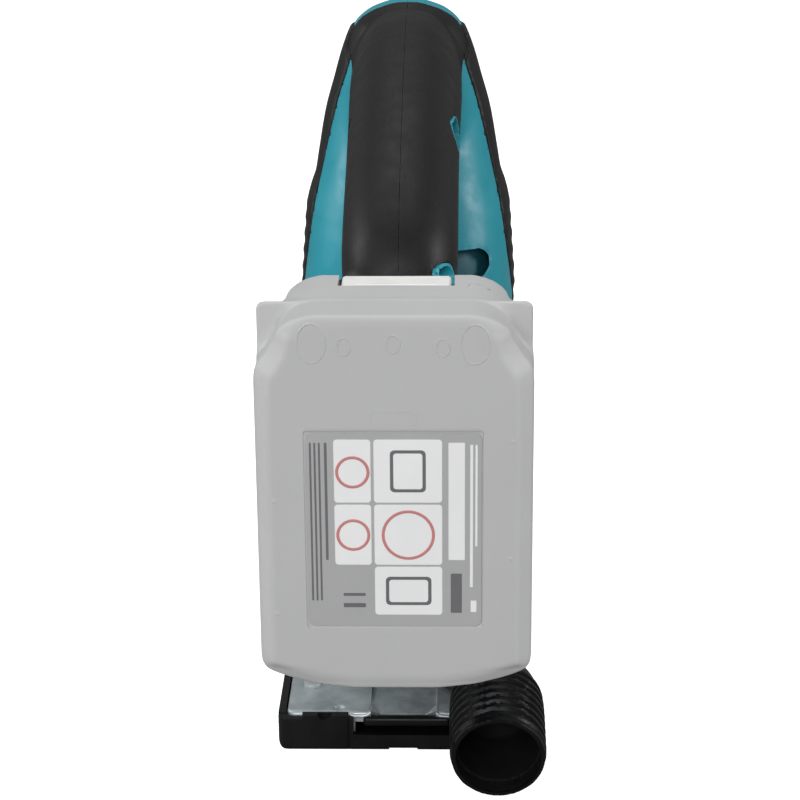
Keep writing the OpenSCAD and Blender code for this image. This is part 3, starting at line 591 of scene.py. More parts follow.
def dome(centre, r, height, normal=(0, -1, 0), rings=4, sides=20):
    """A low button on a face, closed on all sides."""
    n = np.array(normal, float)
    u = np.cross(n, [0.0, 0.0, 1.0]) if abs(n[2]) < 0.9 else np.array([1.0, 0.0, 0.0])
    u /= np.linalg.norm(u)
    v = np.cross(n, u)
    c = np.array(centre, float)
    points, faces = [c - n * height], []
    for j in range(rings + 1):
        w = 0.5 * math.pi * j / rings
        for i in range(sides):
            a = 2 * math.pi * i / sides
            points.append(c + r * math.cos(w * 0.98) * (math.cos(a) * u + math.sin(a) * v) + n * height * math.sin(w))
    points.append(c + n * height)
    for i in range(sides):
        j = (i + 1) % sides
        faces.append((0, 1 + j, 1 + i))
        for k in range(rings):
            a, b = 1 + k * sides + i, 1 + k * sides + j
            faces.append((a, b, b + sides, a + sides))
        faces.append((1 + rings * sides + i, 1 + rings * sides + j, len(points) - 1))
    return points, faces


def tile(low, high, r=0.12, corner=1.2, segments=4):
    """A thin plate facing -Y with rounded corners and a softened front edge."""
    (x0, y0, z0), (x1, y1, z1) = low, high

    def ring(inset, y):
        out = []
        c = max(corner - inset, 0.05)
        for cx, cz, start in ((x1 - corner, z1 - corner, 0), (x0 + corner, z1 - corner, 90),
                              (x0 + corner, z0 + corner, 180), (x1 - corner, z0 + corner, 270)):
            for i in range(segments + 1):
                w = math.radians(start + 90 * i / segments)
                out.append((cx + c * math.cos(w), y, cz + c * math.sin(w)))
        return out

    rings = [ring(0, y1), ring(0, y0 + r), ring(r, y0)]
    size = len(rings[0])
    points = [p for q in rings for p in q]
    faces = [tuple(range(size)), tuple(2 * size + i for i in range(size))[::-1]]
    for k in range(2):
        for i in range(size):
            j = (i + 1) % size
            faces.append((k * size + j, k * size + i, (k + 1) * size + i, (k + 1) * size + j))
    return points, faces


# ------------------------------------------------------------------ the housing's form

# Height, half width, rear and front in Y, squareness
HOOD = [
    (58, 27, 6, 78, 3.4), (72, 32.5, 0, 81, 3.2), (92, 35.6, -6, 83, 3.0), (120, 37, -8, 84, 2.9),
    (131, 36.4, -5.5, 83.8, 2.8), (140, 35.8, -2, 83.5, 2.7), (147, 35.2, 1.4, 83.2, 2.6), (152, 34, 4, 83, 2.6),
    (158, 32, 7, 82.4, 2.55), (165, 30.8, 11, 81.5, 2.5), (179, 28.3, 18, 79, 2.4), (190, 25.2, 24, 76.5, 2.3),
    (201, 21.9, 30, 73, 2.2), (209, 18.2, 34, 69, 2.1), (213, 13.5, 40, 66, 2.0), (216.2, 5, 48, 60, 2.0),
]
# Y, half width, half height, squareness
BARREL = [(-106, 30.5, 31, 3.0), (-98, 32.4, 32.6, 2.8), (-60, 33, 33, 2.6), (-10, 33.4, 33, 2.6), (26, 33, 32, 2.6)]
BARREL_Z = 88.0
# Upper Y and Z, lower Y and Z, half width
GRIP = [
    (-107.5, 128, -78, 112, 16.4), (-107.5, 148, -84, 136, 16.6), (-107.3, 160, -80, 146, 16.7),
    (-103, 169, -75, 150, 17.3), (-91, 178.5, -66, 153, 17.4), (-72, 187.2, -54, 155.5, 17.5),
    (-45, 197.3, -38, 158.5, 17.7), (-20, 205, -16, 163, 18.1), (5, 211, 4, 167, 18.6), (22, 214, 20, 166, 18.8),
    (40, 216, 37, 158, 18.8), (52, 214, 50, 150, 17),
]
HOOD_TOP = 216.0
GRIP_MASK = [
    (-125, 128), (-96, 136), (-84, 148), (-66, 160), (-44, 168), (-20, 175), (2, 182), (22, 190), (34, 196),
    (47.5, 203), (50.5, 224), (-80, 228), (-127, 200),
]
BUMPER_MASK = [
    (-92, 86), (-60, 98), (-20, 104), (20, 99), (44, 85), (90, 78), (90, 230), (47.5, 230), (46.5, 203), (34, 196),
    (22, 180), (8, 160), (-2, 142), (-16, 124), (-60, 113), (-94, 97),
]
NOSE_MASK = [(62, 40), (95, 40), (95, 190), (74, 190), (67, 176), (62, 158)]
# The strip's inner edge: height and half width
STRIP_EDGE = [(70, 34), (100, 36.2), (117, 36.6), (123, 36.0), (135, 34.4), (151, 31.9), (162, 29.4), (173, 26.9),
              (185, 23.8), (193, 21.2), (203, 17.6), (208, 14.6), (213, 13.0), (217, 12.6)]
# Squareness of the block that carries the pack
MOUNT_E = 5.0
# Y and Z of the lock pin, and its ends in X
PIN = (-30.0, 187.6)
PIN_LOW, PIN_HIGH = -16.9, 14.9
TRIGGER_PIVOT = (-8.0, 172.0)
# Depth of the overmoulded layer and of the shell
RUBBER = 1.9
WALL = 4.0
# Screws whose heads show through the skin
OPEN_SCREWS = [(-98, 68), (-101, 159.5), (-30, 117)]

hood_half, hood_rear, hood_front, hood_e = (curve(HOOD, c) for c in (1, 2, 3, 4))


def hood_taper(z):
    """Turns a distance across the hood into one square to its sloping skin."""
    slope = (hood_half(z + 1.0) - hood_half(z - 1.0)) / 2.0
    return 1.0 / np.sqrt(1.0 + 1.3 * slope * slope)


barrel_half, barrel_high, barrel_e = (curve(BARREL, c) for c in (1, 2, 3))
strip_edge = curve(STRIP_EDGE, 1)


def grip_maps():
    """Maps of the side view: place across the grip, its half height and half width there, overshoot past its ends."""
    keys = [(i,) + g for i, g in enumerate(GRIP)]
    t = np.linspace(0, len(GRIP) - 1, 70)
    uy, uz, ly, lz, w = (curve(keys, c)(t) for c in (1, 2, 3, 4, 5))
    cy, cz = (uy + ly) / 2, (uz + lz) / 2
    hy, hz = (uy - ly) / 2, (uz - lz) / 2

    def build(y, z):
        best = np.full(y.shape, 1e9)
        out = [np.zeros(y.shape) for _ in range(4)]
        for i in range(len(t) - 1):
            a = np.array([cy[i], cz[i]])
            d = np.array([cy[i + 1], cz[i + 1]]) - a
            s = ((y - a[0]) * d[0] + (z - a[1]) * d[1]) / (d @ d)
            c = np.clip(s, 0, 1)
            away = np.hypot(y - a[0] - c * d[0], z - a[1] - c * d[1])
            near = away < best
            best = np.where(near, away, best)
            length = math.hypot(*d)
            normal = np.array([-d[1], d[0]]) / length
            across = (y - a[0]) * normal[0] + (z - a[1]) * normal[1]
            h = [abs(hy[i + k] * normal[0] + hz[i + k] * normal[1]) for k in (0, 1)]
            over = np.zeros(y.shape)
            if i == 0:
                over = np.maximum(-s, 0) * length
            if i == len(t) - 2:
                over = np.maximum(s - 1, 0) * length
            values = (across, h[0] + c * (h[1] - h[0]), w[i] + c * (w[i + 1] - w[i]), over)
            out = [np.where(near, v, o) for v, o in zip(values, out)]
        return out

    def kept(column):
        rounds = 0 if column == 3 else 6
        return Plan(lambda y, z: blurred(build(y, z)[column], rounds), (-140.0, 96.0), (104.0, 232.0), 1.0)

    return [kept(c) for c in range(4)]


grip_across, grip_high, grip_half, grip_over = grip_maps()
grip_mask = side_plan(GRIP_MASK)
bumper_mask = side_plan(BUMPER_MASK)
nose_mask = side_plan(NOSE_MASK)


def body_form(x, y, z):
    zz = np.clip(z, 58, 216.2)
    rear, front = hood_rear(zz), hood_front(zz)
    hood = oval(x, y - (rear + front) / 2, hood_half(zz), (front - rear) / 2, hood_e(zz)) * hood_taper(zz)
    hood = mix_max(hood, 58 - z, 2.5)
    yy = np.clip(y, -106, 26)
    barrel = oval(x, z - BARREL_Z, barrel_half(yy), barrel_high(yy), barrel_e(yy))
    barrel = mix_max(np.maximum(barrel, y - 26), -106 - y, 2.5)
    grip = oval(x, grip_across(y, z), grip_half(y, z), grip_high(y, z), 2.35)
    grip = np.maximum(grip, grip_over(y, z) - 0.5)
    half, high = 32.5 - np.clip((y + 100) * 0.45, 0, 4.5), 47.5 - np.clip((y + 100) * 0.55, 0, 5.5)
    mount = oval(x, z - 110.5, half, high, MOUNT_E)
    mount = mix_max(mount, np.abs(y + 98.9) - 9.0, 1.5)
    d = mix_min(hood, barrel, 5.0)
    d = mix_min(d, grip, np.where(z > 190, np.maximum(6.0 - (z - 190) * 0.3, 0.8), 6.0))
    d = mix_min(d, mount, 4.0)
    return mix_max(d, z - HOOD_TOP, 1.0)


def recess(x, y, z):
    """The pocket in the shoulder beside the grip."""
    return np.maximum(pill(np.abs(x), z, (16.0, 134.8), (23.2, 134.6), 4.9), slab(y, -24, 14))


def screw_distance(y, z):
    return np.minimum.reduce([np.hypot(y - a, z - b) for a, b in OPEN_SCREWS])


def lock_bezel(y, z):
    """Side view of the sunk seat round the lock pin, drawn out towards the rear."""
    return pill(y, z, (PIN[0] - 0.3, PIN[1] - 0.6), (PIN[0] - 6.4, PIN[1] - 0.8), 5.0)


def rubber_field(x, y, z, side, b):
    """Negative where the surface is overmoulded: grip and strips."""
    grip = grip_mask(y, z)
    strip = mix_max(bumper_mask(y, z), strip_edge(z) - np.abs(x) + b, 0.8)
    strip = np.maximum(strip, np.minimum(z - 208.0, y - 47.5))
    region = np.minimum(grip, strip)
    if side > 0:
        region = np.maximum(region, -lock_bezel(y, z))
    hook = pill(y, z, (13.0, 151.5), (10.5, 147.5), 2.6)
    region = np.maximum(region, -np.maximum(hook, 20 - np.abs(x)))
    if side > 0:
        region = np.maximum(region, 3.7 - screw_distance(y, z))
    return region


def housing_field(side):
    def field(x, y, z):
        b = body_form(x, y, z)
        region = rubber_field(x, y, z, side, b)
        d = np.maximum(b, np.minimum(-region, b + RUBBER))
        # The seat round the lock pin and the shoulder pocket, on the right only
        if side > 0:
            d = np.maximum(d, -np.maximum(lock_bezel(y, z) + 0.9, -2.0 - b))
            d = mix_max(d, -np.maximum(recess(x, y, z), -4.5 - b), 0.5)
            heads = screw_distance(y, z)
            d = np.maximum(d, -np.maximum(heads - 2.8, 6.0 - x))
        inner = b + WALL
        if side > 0:
            inner = np.maximum(inner, -np.maximum(recess(x, y, z) - 2.2, -6.7 - b))
        d = carve(d, inner,
                  brick(x, y, z, (-9, -58, 138), (9, -3, 178), 1.5))
        d = np.maximum(d, 3.55 - np.hypot(y - PIN[0], z - PIN[1]))
        d = carve(d, brick(x, y, z, (-22.5, 14, 40), (22.5, 61, 74), 2.0),
                  brick(x, y, z, (-5.0, 57, 40), (5.0, 67.5, 63), 1.0),
                  brick(x, y, z, (-28, -34, 40), (28, 14, 60.6), 2.0),
                  brick(x, y, z, (-11.5, -112, 83), (11.5, -100, 109), 0.8))
        # Cooling slots in the barrel's flanks
        for k in range(5):
            slot = pill(y, z, (-84.0 + 7 * k, 74.0), (-80.0 + 7 * k, 92.0), 1.25)
            d = np.maximum(d, -np.maximum(slot, 20 - np.abs(x)))
        d = np.maximum(d, -(nose_mask(y, z) - 0.12))
        return mix_max(d, 0.05 - side * x, 0.35)
    return field


def overmould_field(side, which):
    def field(x, y, z):
        b = body_form(x, y, z)
        region = rubber_field(x, y, z, side, b)
        if which == "grip":
            region = np.maximum(region, grip_mask(y, z))
            top = b
        else:
            region = np.maximum(region, 0.02 - grip_mask(y, z))
            wave = 0.16 * (1 + np.cos(2 * math.pi * (z + 0.28 * y) / 6.0)) * np.clip((150 - z) / 8, 0, 1)
            top = b - 0.75 + wave
        d = mix_max(top, region + 0.16, 0.7)
        d = carve(d, b + RUBBER - 0.1,
                  nose_mask(y, z) - 0.25,
                  brick(x, y, z, (-9, -58, 138), (9, -3, 178), 1.5))
        if which == "grip":
            d = np.maximum(d, 3.55 - np.hypot(y - PIN[0], z - PIN[1]))
        return mix_max(d, 0.03 - side * x, 0.28)
    return field


def boot_field(x, y, z):
    b = body_form(x, y, z)
    n = nose_mask(y, z)
    d = mix_max(b + 0.05, n + 0.15, 0.6)
    d = np.maximum(d, -(b + 2.6))
    groove = np.maximum(pill(np.abs(x), z, (12.0, 96.0), (12.0, 150.0), 0.9), 70 - y)
    d = np.maximum(d, -np.maximum(groove, -b - 0.7))
    for k in range(3):
        line = np.maximum(np.abs(z - (112.0 + 10 * k)) - 0.8, np.abs(x) - 9.0)
        d = np.maximum(d, -np.maximum(np.maximum(line, 70 - y), -b - 0.7))
    d = np.maximum(d, -brick(x, y, z, (-8.3, 70, 79.9), (8.3, 95, 88.1), 0.6))
    return np.maximum(d, -brick(x, y, z, (-22.5, 14, 40), (22.5, 78, 60.6), 1.0))


def rail_parts(parts, side):
    """The upright channels that hold the battery."""
    low, high = 66.0, 150.0

    def field(x, y, z):
        u = side * x
        post = brick(u, y, z, (26.2, -119.4, low), (32.4, -104.0, high), 1.0)
        lip = brick(u, y, z, (22.5, -119.4, low), (27.5, -115.4, high), 0.8)
        return np.minimum(post, lip)

    xs = axis(21.5, 33.5, 0.6)
    xs = xs if side > 0 else -xs[::-1]
    parts.add_field(field, (xs, axis(-120.5, -103.5, 0.6), axis(65, 151, 1.5, [(65, 68, 0.6), (148, 151, 0.6)])))


def half_axis(side, step, limit):
    xs = axis(-0.8, limit, step, [(-0.8, 0.8, 0.4)])
    return xs if side > 0 else -xs[::-1]


def make_housing(mats):
    for side, word in ((-1, "left"), (1, "right")):
        step = 1.12
        fine = 0.85
        parts = Parts()
        grids = (half_axis(side, step, 39.0), axis(-110, 75, step, [(-107, -95, 0.6), (-44, -25, 0.7)]),
                 axis(56.5, 218, step, [(122, 218, fine * 1.1)]))
        parts.add_field(housing_field(side), grids)
        rail_parts(parts, side)
        shell = parts.build("housing_shell_" + word)

        def pocket(centre, normal):
            x, y, z = centre.T
            b = body_form(x, y, z)
            # Faces on the pocket's walls and floor, which take the darker teal as painted shade
            dark = (recess(x, y, z) < 0.25) & (b < -0.4) & (b > -4.9) & (side > 0)
            return dark.astype(int)

        paint(shell, pocket)
        finish_piece(shell, "body", "teal_plastic", [mats["teal_plastic"], mats["teal_painted_shade"]], "housing_" + word)
        grids = (half_axis(side, fine, 37.5), axis(-110, 51, fine, [(-107, -95, 0.55)]), axis(124, 218, fine))
        grip = field_piece("grip_cover_" + word, overmould_field(side, "grip"), grids)
        finish_piece(grip, "body", "grip_rubber", mats["grip_rubber"], "grip_" + word)
        xs = axis(3.0, 39.0, fine)
        grids = (xs if side > 0 else -xs[::-1], axis(-98, 78, fine), axis(70, 218, fine))
        strip = field_piece("flank_strip_" + word, overmould_field(side, "strip"), grids)
        finish_piece(strip, "body", "grip_rubber", mats["grip_rubber"], "bumper_" + word)
    step = 0.95
    boot = field_piece("nose_boot", boot_field, (axis(-39, 39, step), axis(60.5, 86, step), axis(56.5, 192, step)))
    finish_piece(boot, "body", "black_plastic", mats["black_plastic"], "head_cover")


# ------------------------------------------------------------------ trigger, lock and selector

def make_controls(mats):
    lever = [(-4.6, 175.0), (-4.6, 163), (-9, 156), (-20, 150.8), (-40, 145.8), (-50, 144.8), (-53.2, 148),
             (-52.4, 158), (-49, 166), (-30, 170.3), (-14, 175.0)]
    shape = side_plan(lever, 2.0)

    def trigger(x, y, z):
        face = mix_max(shape(y, z) + 0.1, np.abs(x) - 8.3, 2.2)
        groove = np.minimum.reduce([pill(y, z, (-46 + 7 * k, 141.0 + 1.6 * k), (-46 + 7 * k, 146.6), 0.5)
                                    for k in range(5)])
        return np.maximum(face, -np.maximum(groove, np.abs(x) - 6.5))

    step = 0.6
    parts = Parts()
    parts.add_field(trigger, (axis(-9.2, 9.2, step), axis(-54.5, -3.5, step), axis(143.5, 176.5, step)))
    y, z = TRIGGER_PIVOT
    parts.add_field(lambda x, a, b: disc(a - y, b - z, x, 2.38, -10.6, 10.6, 0.3),
                    (axis(-11.2, 11.2, 0.6), axis(y - 3, y + 3, 0.4), axis(z - 3, z + 3, 0.4)))
    piece = parts.build("trigger_lever")
    finish_piece(piece, "trigger", "black_plastic", mats["black_plastic"], "trigger")

    parts = Parts()
    y, z = PIN

    def lock(x, a, b):
        d = disc(a - y, b - z, x, 3.2, PIN_LOW, PIN_HIGH, 0.7)
        ring = np.abs(np.hypot(a - y, b - z) - 1.8) - 0.3
        end = np.minimum(np.abs(x - PIN_LOW), np.abs(x - PIN_HIGH)) - 0.45
        return np.maximum(d, -np.maximum(ring, end))

    ends = [(PIN_LOW - 1, PIN_LOW + 3, 0.35), (PIN_HIGH - 3, PIN_HIGH + 1, 0.35)]
    parts.add_field(lock, (axis(PIN_LOW - 0.6, PIN_HIGH + 0.6, 1.2, ends), axis(y - 5.4, y + 5.4, 0.35),
                           axis(z - 5.4, z + 5.4, 0.35)))
    finish_piece(parts.build("lock_pin"), "lock_off", "black_plastic", mats["black_plastic"], "lock_button")

    low, high = node_box("selector_lever")
    y, z = 17.0, 46.0

    def selector(x, a, b):
        hub = disc(a - y, b - z, x, 8.9, -34.0, -27.2, 0.9)
        arm = np.maximum(pill(a, b, (y, z), (y - 14.2, z), 0.0) - 4.2 + 0.09 * (y - a), slab(x, -34.0, -29.0))
        arm = mix_max(arm, slab(x, -34.0, -29.0), 0.8)
        d = mix_min(hub, arm, 1.0)
        mark = pill(a, b, (y - 4, z), (y - 12, z), 0.55)
        d = np.maximum(d, -np.maximum(mark, x + 33.3))
        return np.maximum(d, -disc(a - y, b - z, x, 3.5, -31.0, -20.0))

    grids = (axis(-34.6, -26.6, 0.45), axis(low[1] - 0.6, high[1] + 0.6, 0.5), axis(low[2] - 0.6, high[2] + 0.6, 0.5))
    piece = field_piece("selector_knob", selector, grids)
    finish_piece(piece, "selector", "black_plastic", mats["black_plastic"], "selector_lever")


# ------------------------------------------------------------------ battery

PACK_REAR, PACK_FRONT = -169.75, -120.5
# Half of the pack's outline from behind: X and Z
PACK_OUTLINE = [
    (12, 60.0), (22, 60.9), (29, 62.3), (34.0, 63.8), (36.4, 65.0), (37.45, 67.2), (37.45, 150.0), (36.9, 153.0),
    (34.4, 156.0), (33.2, 158.2), (31.8, 160.4), (31.0, 162.8), (29.4, 164.6), (26.6, 166.6), (22, 168.0),
]


def pack_plan():
    p = soften(PACK_OUTLINE + [(-x, z) for x, z in reversed(PACK_OUTLINE)], 1.2)
    return Plan(lambda u, v: outline(p, u, v), (-42.0, 52.0), (42.0, 176.0), 0.4)


def pack_drop(y, z):
    """How much lower the pack's top lies towards its front."""
    return 2.6 * (y - PACK_REAR) / 49.0 * np.clip((z - 120) / 45, 0, 1)


def pack_field(plan):
    def field(x, y, z):
        drop = pack_drop(y, z)
        core = plan(x, z + drop)
        rear = PACK_REAR - y
        cut = np.interp(z, [59, 62, 66, 135, 150, 157, 163, 168], [0.3, 2.5, 4.2, 4.2, 4.6, 4.4, 3.0, 0.4])
        bevel = (core + rear + cut) * math.sqrt(0.5)
        core = mix_max(mix_max(core, rear, 0.9), bevel, 0.9)
        core = mix_max(core, y - PACK_FRONT, 1.0)
        ears = mix_max(plan(x, np.minimum(z, 120.0)), z - (166.6 - 0.3 * (y + 151)), 2.6)
        ears = mix_max(ears, -151.0 - y, 1.4)
        ears = mix_max(ears, y - PACK_FRONT, 1.0)
        d = mix_min(core, ears, 1.6)
        inner = np.maximum(brick(x, y, z, (-34.6, -167.0, 62.6), (34.6, -110.0, 156.0), 0.5), core + 2.2)
        inner = np.minimum(inner, brick(x, y, z, (-34.6, -130.0, 62.6), (34.6, -110.0, 144.0), 0.5))
        inner = np.minimum(inner, brick(x, y, z, (-28.0, -130.0, 62.6), (28.0, -110.0, 156.0), 0.5))
        d = carve(d, inner,
                  brick(x, y, z, (-16.3, -134.4, 157.5), (16.3, -110, 175), 0.6),
                  brick(x, y, z, (-12.4, -124, 139.5), (12.4, -110, 159), 0.3),
                  disc(x - 23, y + 134, z, 3.05, 163.0, 175))
        return np.maximum(d, -brick(x, y, z, (-23.9, -175, 79.0), (23.9, -169.3, 135.7), 0.1))
    return field


def make_battery(mats):
    step = 0.95
    parts = Parts()
    grids = (axis(-38.6, 38.6, step, [(-17.5, -15.0, 0.45), (15.0, 17.5, 0.45), (19.2, 26.8, 0.38)]),
             axis(-171, -119.4, step, [(-171, -165, 0.42), (-138, -130, 0.4)]),
             axis(59, 169, step, [(59, 62, 0.7), (155, 169, 0.7)]))
    plan = pack_plan()
    parts.add_field(pack_field(plan), grids)
    face = PACK_REAR
    # Moulded outlines on the rear face: centre in X and Z, half axes
    rings = [(-21.5, 160.5, 3.8, 5.4), (21.7, 160.2, 3.8, 5.4), (-12.9, 159.6, 1.75, 2.4), (0.1, 160.3, 1.75, 2.4),
             (13.2, 159.3, 1.75, 2.4)]
    for x, z, a, b in rings:
        path = [(x + a * math.cos(w), face + 0.1, z + b * math.sin(w)) for w in np.linspace(0, 2 * math.pi, 49)[:-1]]
        parts.add(*sweep(path, 0.3, 8, closed=True))
    mark = [(-5.4, 137.8), (5.8, 137.8), (6.4, 138.6), (6.4, 140.8), (5.8, 141.6), (-5.4, 141.6), (-6, 140.8),
            (-6, 138.6)]
    parts.add(*sweep([(x, face + 0.12, z) for x, z in mark], 0.2, 6, closed=True))
    for x, z in ((31.8, 133.0), (-32.2, 116.0), (-32.2, 83.0), (31.4, 99.4)):
        parts.add(*dome((x, face + 0.05, z), 0.8, 0.15, rings=3))
    case = parts.build("pack_case", 42.0)
    finish_piece(case, "battery", "pack_plastic", mats["pack_plastic"], "battery_case", "battery_screws")

    parts = Parts()
    parts.add(*tile((-23.6, -169.62, 79.3), (23.6, -169.32, 135.4), 0.1, 1.8), 0)
    front, back = -169.74, -169.58
    columns = [(-16.1, -6.2), (-5.4, 12.9)]
    rows = [(115.7, 133.7), (97.6, 115.1)]
    for x0, x1 in columns:
        for z0, z1 in rows:
            parts.add(*tile((x0, front, z0), (x1, back, z1), 0.05, 0.9), 1)
    parts.add(*tile((-5.4, front, 82.8), (12.9, back, 97.0), 0.05, 0.9), 1)
    # Plain rings on the white panels, and plain bars in place of print
    for x, z, r in ((-11.1, 124.4, 4.2), (-11.1, 106.3, 4.2), (3.75, 106.3, 6.8)):
        path = [(x + r * math.cos(w), front - 0.01, z + r * math.sin(w)) for w in np.linspace(0, 2 * math.pi, 41)[:-1]]
        parts.add(*sweep(path, 0.42, 6, closed=True, squash=0.25), 3)
    for x, z, w, h in ((3.75, 124.7, 4.8, 6.0), (3.75, 89.9, 6.2, 4.2)):
        parts.add(*tile((x - w, front - 0.05, z - h), (x + w, front + 0.05, z + h), 0.03, 1.2), 2)
        a, b = w - 0.9, h - 0.9
        parts.add(*tile((x - a, front - 0.09, z - b), (x + a, front + 0.05, z + b), 0.03, 0.8), 1)
    bars = [(14.6, 19.0, 99.0, 132.8, 1), (20.4, 21.2, 91.0, 132.2, 1), (21.8, 22.4, 103.0, 132.2, 1),
            (-22.6, -22.1, 87.0, 132.8, 2), (-21.4, -20.9, 87.0, 132.8, 2), (-20.2, -19.7, 87.0, 132.8, 2),
            (-18.6, -17.9, 99.0, 132.8, 2), (15.2, 18.2, 83.4, 95.0, 2), (-14.0, -8.0, 85.0, 86.2, 2),
            (-14.0, -8.0, 88.4, 89.2, 2), (20.6, 22.2, 83.6, 87.0, 1)]
    for x0, x1, z0, z1, kind in bars:
        parts.add(*tile((x0, front, z0), (x1, back, z1), 0.05, 0.2), kind)
    label = parts.build("pack_label")
    finish_piece(label, "battery", "label", [mats["label"], mats["label_white"], mats["label_dark"], mats["label_red"]],
                 "battery_label")

    def cap(x, y, z):
        drop = pack_drop(y, z)
        d = disc(x - 23, y + 134, z, 2.85, 161.9, 170.0, 0.3)
        return mix_max(d, plan(x, z + drop) + 0.1, 0.3)

    grids = (axis(19.6, 26.4, 0.2), axis(-137.4, -130.6, 0.2), axis(161.4, 168.6, 0.2))
    finish_piece(field_piece("charge_button", cap, grids), "gauge", "pack_plastic", mats["pack_plastic"],
                 "gauge_button")

    def button(x, y, z):
        d = brick(x, y, z, (-15.4, -134.0, 162.0), (15.4, -121.2, 165.4), 1.1)
        grooves = np.minimum.reduce([np.hypot(y + 131.0 - 2.4 * k, z - 165.9) for k in range(4)]) - 0.6
        d = np.maximum(d, -np.maximum(grooves, np.abs(x) - 12.5))
        tongue = brick(x, y, z, (-12, -123.4, 148.1), (12, -121.2, 162.2), 0.4)
        hook = brick(x, y, z, (-12, -123.4, 148.1), (12, -108.6, 151.5), 0.5)
        return np.minimum(np.minimum(d, tongue), hook)

    grids = (axis(-16.4, 16.4, 0.7, [(-16.4, -14, 0.4), (14, 16.4, 0.4)]),
             axis(-134.6, -108, 0.55), axis(147.5, 168.4, 0.55, [(162, 168.4, 0.35)]))
    finish_piece(field_piece("pack_latch", button, grids), "latch", "button_plastic", mats["button_plastic"],
                 "latch_button")


# ------------------------------------------------------------------ base

def plan_box(x, y, half_x, rear, front, r):
    qx, qy = slab(x, -half_x + r, half_x - r), slab(y, rear + r, front - r)
    return np.hypot(np.maximum(qx, 0), np.maximum(qy, 0)) + np.minimum(np.maximum(qx, qy), 0) - r


def cover_field(x, y, z):
    out = plan_box(x, y, 39.95, -91.95, 91.9, 3.2)
    d = np.maximum(mix_max(out, -z + 0.02, 0.8), mix_max(np.abs(x) - 39.95, -z + 0.02, 3.2))
    d = mix_max(d, z - np.where(y < -88.0, 10.9, 11.5), 0.5)
    hollow = np.maximum(plan_box(x, y, 37.6, -89.6, 89.6, 3.2), 3.0 - z)
    d = np.maximum(d, -hollow)
    # The block beside the mouth, with the round seat for a key
    block = brick(x, y, z, (-32.2, -91.95, 2.0), (-17.5, -89.0, 12.1), 0.4)
    d = np.minimum(d, block)
    d = carve(d, disc(x + 25.0, z - 12.7, y, 2.3, -95, -89.8),
              brick(x, y, z, (-16.0, -96, 5.2), (16.0, -85.8, 20), 0.6),
              brick(x, y, z, (-4.6, -96, -2), (4.4, -90.6, 1.5), 0.4),
              brick(x, y, z, (-9.3, 38, -1), (9.3, 66.3, 4), 0.3),
              brick(x, y, z, (-5.5, 66, -1), (5.5, 95, 20), 0.5),
              disc(x, y + 4, z, 7.0, -1, 4.5))
    # Fine seam beside the block, and shallow grooves under the sole
    d = np.maximum(d, -np.maximum(np.abs(x + 17.2) - 0.25, y + 91.5))
    for k in (-28, -20, 20, 28):
        d = np.maximum(d, -np.maximum(np.hypot(x - k, z + 0.35) - 0.8, slab(y, -78, 78)))
    for sx in (-30, 30):
        for sy in (-70, 80):
            post = disc(x - sx, y - sy, z, 3.6, 2.9, 9.3)
            d = np.minimum(d, np.maximum(post, 1.6 - np.hypot(x - sx, y - sy)))
    return d


def plate_field(x, y, z):
    out = plan_box(x, y, 37.2, -89.2, 89.2, 3.0)
    d = mix_max(out, z - 12.0, 1.5)
    d = np.maximum(d, 3.4 - z)
    d = np.maximum(d, -np.maximum(plan_box(x, y, 35.4, -87.4, 87.4, 2.0), z - 9.6))
    cut = np.minimum(brick(x, y, z, (-20.5, -26, 0), (20.5, 22, 20), 1.0),
                     brick(x, y, z, (-24.5, 21, 0), (24.5, 72, 20), 1.0))
    cut = np.minimum(cut, brick(x, y, z, (-8, 71, 0), (8, 95, 20), 1.0))
    d = np.maximum(d, -cut)
    # The shallow rear channel, cut back at the mouth, and the dimple beside it
    channel = mix_max(np.abs(x) - 10.6, np.abs(y + 64) - 31, 1.5)
    d = np.maximum(d, -mix_max(channel, 10.7 - z, 0.7))
    d = np.minimum(d, np.maximum(np.maximum(np.abs(x) - 11.8, slab(y, -87.6, -33)), slab(z, 9.4, 10.7)))
    d = carve(d, brick(x, y, z, (-10.4, -95, 0), (10.4, -87.6, 20), 0.6),
              np.sqrt((x + 20.6) ** 2 + (y + 86.0) ** 2 + (z - 13.4) ** 2) - 2.3,
              np.maximum(np.maximum(np.abs(x) - 15.8, y + 85.8), z - 8.6))
    for sx in (-30, 30):
        for sy in (-70, 80):
            d = np.maximum(d, 1.8 - np.hypot(x - sx, y - sy))
    return d


NOZZLE = (29.5, -126.0, 15.5)
TILT = math.radians(8.0)
RIB_PITCH = 3.7
# Y, centre in X and Z, half width, half height, squareness
DUCT = [
    (-130, 29.5, 14.9, 14.2, 14.2, 2.0), (-126, 29.5, 15.5, 14.2, 14.2, 2.0), (-118, 29.5, 16.6, 14.3, 14.3, 2.0),
    (-110.5, 29.5, 17.7, 14.4, 14.4, 2.0), (-99, 29.4, 19.5, 14.2, 13.8, 2.05), (-92.8, 29.3, 21.4, 12.8, 9.5, 2.3),
    (-84, 27, 21.6, 11.6, 8.4, 2.8), (-72, 17, 21.3, 11.6, 7.6, 3.2), (-58, 6, 20.2, 12.6, 7.4, 3.6),
    (-32, 0, 19.2, 13, 6.8, 4),
]
duct_x, duct_z, duct_w, duct_h, duct_e = (curve(DUCT, c) for c in (1, 2, 3, 4, 5))


